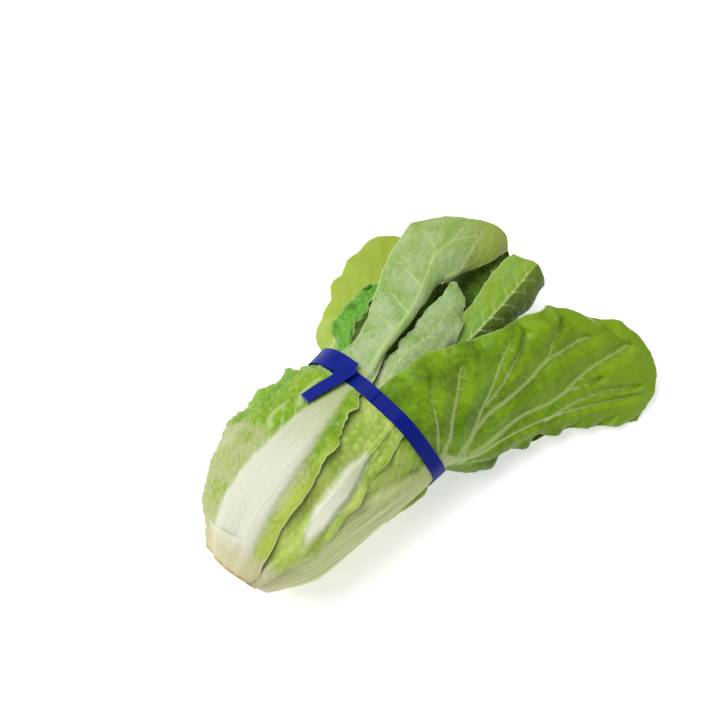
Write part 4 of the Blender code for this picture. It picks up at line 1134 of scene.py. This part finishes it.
def ribbon(path, width, ring_radius):
    """Inner and outer grids of a flat strip through (x, angle, rise) points, and its map."""
    x, angle, rise = np.array(path).T
    at = np.linspace(0, len(path) - 1, RIBBON_ROWS)
    middle = through(range(len(path)), polar(x, angle, ring_radius(angle) + TAPE_THICKNESS + rise), at)
    turned = np.radians(through(range(len(path)), angle, at))
    outward = np.stack([0 * turned, np.sin(turned), np.cos(turned)], axis=-1)
    along = np.gradient(middle, axis=0)
    side = unit(np.cross(outward, along))
    across = np.linspace(-width / 2, width / 2, RIBBON_COLUMNS)
    inner = middle[:, None] + side[:, None] * across[:, None]
    outer = inner + unit(np.cross(along, side))[:, None] * TAPE_THICKNESS
    return inner, outer, np.stack(np.broadcast_arrays(line_run(middle)[:, None], across), axis=-1)


# Settings


def setting(name, description, default, **kind):
    return bpy.props.FloatProperty(name=name, description=description, default=default, **kind)


def colour(name, description, *default):
    return bpy.props.FloatVectorProperty(
        name=name, description=description, subtype="COLOR", size=3, min=0, max=1, default=default
    )


class BokChoyShape(bpy.types.PropertyGroup):
    """Sizes of the leaves' fine shape."""

    blade_thickness: setting("Blade thickness", "Thickness of a leaf's blade", 0.0006, unit="LENGTH")
    pucker: setting("Puckers", "How high the blades pucker between their veins", 1.0, subtype="FACTOR")
    ruffle: setting("Ruffles", "How strongly the margins are crimped", 1.0, subtype="FACTOR")
    vein_height: setting("Veins", "How far the side veins stand out", 1.0, subtype="FACTOR")
    margin_depth: setting("Margin", "How uneven the margins' outlines are", 1.0, subtype="FACTOR")


class BokChoyColours(bpy.types.PropertyGroup):
    """Colours of the head and its tape, among them painted shade and painted light."""

    stalk: colour("Stalk", "White of the thick stalks", 0.60, 0.60, 0.50)
    stalk_streak: colour("Stalk streaks", "Fine streaks along the stalks", 0.52, 0.55, 0.40)
    stalk_green: colour("Stalk sides", "Green tinge of a stalk", 0.30, 0.37, 0.10)
    stalk_foot: colour("Stalk foot", "Yellowed foot of the stalks", 0.52, 0.47, 0.26)
    # Painted light: the stalk white made lighter for a stalk that faces away from the light.
    stalk_bright: colour("Bright stalk", "White of a stalk that faces away from the light", 0.74, 0.75, 0.60)
    stalk_lime: colour("Green stalk", "Pale green stalk", 0.66, 0.71, 0.33)
    blade_lime: colour("Crease", "Yellow-green of a blade in a crease", 0.36, 0.46, 0.05)
    # Partly the blade's own silvery bloom and partly a painted sheen of the light on its upper faces.
    blade_silver: colour("Silvery blade", "Pale blade with a silvery bloom", 0.38, 0.46, 0.26)
    blade_wing: colour("Wing", "Cream blade near the foot", 0.39, 0.41, 0.20)
    # A light green with deep puckers, painted lighter still to make up for the shade on the low leaves that
    # face away from the light.
    blade_quilt: colour("Quilted blade", "Light blade with deep puckers", 0.42, 0.52, 0.12)
    blade_pale: colour("Pale blade", "Pale green blade", 0.18, 0.32, 0.06)
    blade_fresh: colour("Fresh blade", "Light green blade", 0.30, 0.42, 0.05)
    blade_mid: colour("Middle blade", "Middle green blade", 0.20, 0.34, 0.010)
    blade_green: colour("Green blade", "Full green blade", 0.20, 0.37, 0.006)
    # Painted shade: olive green for a lobe that turns down, away from the light.
    blade_olive: colour("Olive blade", "Olive green of a turned lobe", 0.26, 0.31, 0.05)
    # Painted shade, for the turned-down half of a folded blade and the gaps round the heart.
    blade_shade: colour("Shaded blade", "Dark underside of a folded blade", 0.010, 0.028, 0.001)
    # Painted shade, for a blade that turns down to the floor and for the heart's tips.
    blade_dim: colour("Dim blade", "Blade that turns down to the floor", 0.05, 0.10, 0.004)
    blade_deep: colour("Deep blade", "Deep green blade", 0.085, 0.17, 0.002)
    blade_sprig: colour("Sprig", "Fresh green of the curled blade", 0.13, 0.35, 0.035)
    blade_yellow: colour("Yellow blade", "Yellow-green blade", 0.28, 0.36, 0.035)
    blade_bright: colour("Bright blade", "Bright green curled blade", 0.07, 0.22, 0.015)
    vein: colour("Veins", "Pale side veins", 0.40, 0.50, 0.18)
    margin: colour("Margin", "Pale line along a margin", 0.55, 0.60, 0.34)
    cut: colour("Cut", "Dried brown of the cut", 0.42, 0.29, 0.13)
    cut_dark: colour("Cut flecks", "Darker flecks on the cut", 0.22, 0.14, 0.06)
    tape: colour("Tape", "Blue of the tape", 0.0005, 0.006, 0.15)
    tape_light: colour("Tape streaks", "Lighter streaks along the tape", 0.002, 0.020, 0.34)
    tape_end: colour("Tape end", "Worn blue at the tape's cut end", 0.20, 0.30, 0.55)


class BokChoyStage(bpy.types.PropertyGroup):
    """The camera, the floor and the light."""

    azimuth: setting("Azimuth", "Where the camera stands round the head", math.radians(-47), unit="ROTATION")
    elevation: setting("Elevation", "How steeply the camera looks down", math.radians(70), unit="ROTATION")
    distance: setting("Distance", "From the camera to the head", 3.2, unit="LENGTH")
    width: setting("Width", "Width that the picture takes in", 0.468, unit="LENGTH")
    floor: colour("Floor", "Pale floor", 0.95, 0.95, 0.95)
    floor_glow: setting("Floor glow", "How much the floor shines by itself, so that shadows stay light", 0.48)
    sky: colour("Sky", "Colour of the light from all round", 0.96, 0.98, 1.0)
    sky_strength: setting("Sky strength", "Strength of the light from all round", 0.42)
    key_power: setting("Key power", "Power of the large soft light", 188.0)
    key_size: setting("Key size", "Side of the large soft light", 3.4, unit="LENGTH")


# Operators


class BOKCHOY_OT_stem_butt(bpy.types.Operator):
    """Make the cut end of the stem"""

    bl_idname = "bok_choy.stem_butt"
    bl_label = "Cut end"

    def execute(self, context):
        bm = round_grid(BUTT_SIDES, BUTT_ROWS, capped=True)
        cut = min(bm.faces, key=lambda face: face.calc_center_median().z)
        for _ in range(BUTT_RINGS):
            bmesh.ops.inset_region(bm, faces=[cut], thickness=0.1, use_even_offset=True)
        bmesh.ops.poke(bm, faces=[cut])
        for vertex in bm.verts:
            x, angle, share = round_place(vertex, BUTT_START, BUTT_END)
            around = np.array([math.radians(angle) * BUTT_BUMPS[0], x * BUTT_BUMPS[1]])
            rough = float(swells(around[:1], around[1:], 3)[0]) * BUTT_ROUGH
            radius = float(core_radius(x, angle)) * share
            if x < BUTT_START + 1e-6:
                spot = np.array(vertex.co[:2]) * CUT_BUMPS
                x = BUTT_START + CUT_ROUGH + CUT_ROUGH * float(swells(spot[:1], spot[1:], 5)[0])
                x += CUT_RIM * max(share - (1 - RIM_SHARE), 0) / RIM_SHARE
                radius *= 0.985
            vertex.co = polar(x, angle, radius + rough * share) - (REST_X, 0, 0)
        add_piece("cut_end", to_mesh(bm, "cut_end"), butt_material(), "stem_butt", crease=40)
        return {"FINISHED"}


class BOKCHOY_OT_heart(bpy.types.Operator):
    """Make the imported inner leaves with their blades"""

    bl_idname = "bok_choy.heart"
    bl_label = "Heart"

    def execute(self, context):
        meshes = [mesh_between(leaf.name, *finished_leaf(leaf)) for leaf in HEART_BLADES]
        bm = round_grid(CORE_SIDES, CORE_ROWS, capped=True)
        for vertex in bm.verts:
            x, angle, _ = round_place(vertex, CORE_START, CORE_END)
            vertex.co = polar(x, angle, float(core_radius(x, angle))) - (REST_X, 0, 0)
        core = to_mesh(bm, "core")
        flat = core.uv_layers.new(name="leaf")
        for loop in core.loops:
            spot = core.vertices[loop.vertex_index].co
            around = math.atan2(spot.y, spot.z - AXIS_HEIGHT) * CORE_MAP_RADIUS
            flat.uv[loop.index].vector = (spot.x, around)
        for mark, level in CORE_MARKS.items():
            values = core.attributes.new(mark, "FLOAT", "POINT").data
            values.foreach_set("value", [level] * len(core.vertices))
        whole, mesh = joined([*meshes, core]), bpy.data.meshes.new("heart")
        whole.to_mesh(mesh)
        whole.free()
        add_piece("heart_leaves", mesh, leaf_material(HEART_BLADES[0]), "heart")
        return {"FINISHED"}


def make_leaves(*names):
    rests, covers, _ = packed_head()
    for leaf in LEAVES:
        if leaf.name in names:
            mesh = mesh_between(leaf.name, *finished_leaf(leaf, rests[leaf.name], covers[leaf.name]))
            name = leaf.name.replace("leaf_", "") + "_blade"
            add_piece(name, mesh, leaf_material(leaf), leaf.name)
    return {"FINISHED"}


class BOKCHOY_OT_inner_leaves(bpy.types.Operator):
    """Make the pointed, the folded and the curled leaf"""

    bl_idname = "bok_choy.inner_leaves"
    bl_label = "Inner leaves"

    def execute(self, context):
        return make_leaves("leaf_pointed", "leaf_folded", "leaf_curled")


class BOKCHOY_OT_spread_leaves(bpy.types.Operator):
    """Make the two leaves that spread to the left and the right"""

    bl_idname = "bok_choy.spread_leaves"
    bl_label = "Spreading leaves"

    def execute(self, context):
        return make_leaves("leaf_left", "leaf_right")


class BOKCHOY_OT_under_leaves(bpy.types.Operator):
    """Make the three leaves that the head lies on"""

    bl_idname = "bok_choy.under_leaves"
    bl_label = "Under leaves"

    def execute(self, context):
        return make_leaves("leaf_under_left", "leaf_under_right", "leaf_under")


class BOKCHOY_OT_stalk_leaves(bpy.types.Operator):
    """Make the front leaf, the short leaf beside it and the trimmed stub"""

    bl_idname = "bok_choy.stalk_leaves"
    bl_label = "Stalk leaves"

    def execute(self, context):
        return make_leaves("leaf_short", "leaf_front", "leaf_stub")


class BOKCHOY_OT_tape(bpy.types.Operator):
    """Make the flat tape with its folded end"""

    bl_idname = "bok_choy.tape"
    bl_label = "Tape"

    def execute(self, context):
        ring = tight_ring(packed_head()[2], TAPE_SIDES)
        turns = np.linspace(0, 360, TAPE_SIDES + 1)

        def ring_radius(angle):
            return np.interp(np.mod(angle, 360), turns, np.append(ring, ring[0]))

        across = np.linspace(-TAPE_WIDTH / 2, TAPE_WIDTH / 2, BAND_COLUMNS)
        angle, radius = turns[:, None], ring_radius(turns)[:, None]
        grids = [polar(TAPE_X + across, angle, radius + rise) for rise in (0, 0.6 * TAPE_THICKNESS)]
        uv = np.stack(np.broadcast_arrays(np.radians(angle) * BAND_MAP_RADIUS, across), axis=-1)
        parts = {"band": (*grids, uv), "arch": ribbon(TAPE_ARCH, ARCH_WIDTH, ring_radius)}
        parts["tail"] = ribbon(TAPE_TAIL, TAPE_WIDTH, ring_radius)
        meshes = []
        for name, (inner, outer, uv) in parts.items():
            end = (uv[-1:, :, 0] - uv[..., 0]) * MM if name == "tail" else np.full(uv.shape[:2], FAR_FROM_END)
            inner, outer = inner - (REST_X, 0, 0), outer - (REST_X, 0, 0)
            meshes.append(mesh_between(name, inner, outer, uv, {"end": end}))
        whole = joined(meshes)
        bmesh.ops.remove_doubles(whole, verts=whole.verts[:], dist=1e-6)
        add_piece("tie_tape", to_mesh(whole, "tie_tape"), tape_material(), "tape", crease=40)
        return {"FINISHED"}


class BOKCHOY_OT_stage(bpy.types.Operator):
    """Make the floor, the light and the camera"""

    bl_idname = "bok_choy.stage"
    bl_label = "Stage"

    def execute(self, context):
        stage, scene = context.scene.bok_choy_stage, context.scene
        a, e = stage.azimuth, stage.elevation
        back = Vector((math.sin(a) * math.cos(e), -math.cos(a) * math.cos(e), math.sin(e)))
        right = Vector((math.cos(a), math.sin(a), 0))
        up = back.cross(right)
        pixel = stage.width / PHOTO_SIDE
        centre = ANCHOR + right * (PHOTO_SIDE / 2 - ANCHOR_PIXEL[0]) * pixel
        centre += up * (ANCHOR_PIXEL[1] - PHOTO_SIDE / 2) * pixel
        scene.camera = add_object("camera", bpy.data.cameras.new("camera"))
        scene.camera.data.lens = scene.camera.data.sensor_width * stage.distance / stage.width
        turned = Matrix((right, up, back)).transposed().to_4x4()
        scene.camera.matrix_world = Matrix.Translation(centre + back * stage.distance) @ turned

        bm = bmesh.new()
        bmesh.ops.create_grid(bm, x_segments=8, y_segments=8, size=FLOOR_REACH)
        floor = add_object("floor", to_mesh(bm, "floor"))
        paint = Paint("floor", 0.9, emission_color=(1, 1, 1, 1), emission_strength=stage.floor_glow)
        paint.feed(paint.shader.inputs["Base Color"], tuple(stage.floor))
        floor.data.materials.append(paint.material)

        scene.world = bpy.data.worlds.new("sky")
        scene.world.use_nodes = True
        sky = scene.world.node_tree.nodes["Background"].inputs
        sky["Color"].default_value, sky["Strength"].default_value = (*stage.sky, 1), stage.sky_strength
        key = add_object("key", bpy.data.lights.new("key", "AREA"))
        key.data.energy, key.data.size = stage.key_power, stage.key_size
        key.location = centre + right * KEY_PLACE[0] + up * KEY_PLACE[1] + back * KEY_PLACE[2]
        key.rotation_euler = (key.location - centre).to_track_quat("Z", "Y").to_euler()
        scene.view_settings.view_transform = "Standard"
        return {"FINISHED"}


OPERATORS = (
    BOKCHOY_OT_stem_butt,
    BOKCHOY_OT_heart,
    BOKCHOY_OT_inner_leaves,
    BOKCHOY_OT_spread_leaves,
    BOKCHOY_OT_under_leaves,
    BOKCHOY_OT_stalk_leaves,
    BOKCHOY_OT_tape,
    BOKCHOY_OT_stage,
)


class BOKCHOY_PT_panel(bpy.types.Panel):
    """Settings and steps of the head"""

    bl_idname = "BOKCHOY_PT_panel"
    bl_label = "Bok choy"
    bl_space_type = "VIEW_3D"
    bl_region_type = "UI"
    bl_category = "Bok choy"

    def draw(self, context):
        for group, kind in GROUPS.items():
            box = self.layout.box()
            for name in kind.__annotations__:
                box.prop(getattr(context.scene, group), name)
        for operator in OPERATORS:
            self.layout.operator(operator.bl_idname)


GROUPS = {"bok_choy_shape": BokChoyShape, "bok_choy_colours": BokChoyColours, "bok_choy_stage": BokChoyStage}


def register():
    for kind in (*GROUPS.values(), *OPERATORS, BOKCHOY_PT_panel):
        bpy.utils.register_class(kind)
    for name, group in GROUPS.items():
        setattr(bpy.types.Scene, name, bpy.props.PointerProperty(type=group))


def unregister():
    for name in GROUPS:
        delattr(bpy.types.Scene, name)
    for kind in (BOKCHOY_PT_panel, *reversed(OPERATORS), *reversed(GROUPS.values())):
        bpy.utils.unregister_class(kind)


def main():
    register()
    for operator in OPERATORS:
        group, name = operator.bl_idname.split(".")
        getattr(getattr(bpy.ops, group), name)()


if __name__ == "__main__":
    main()
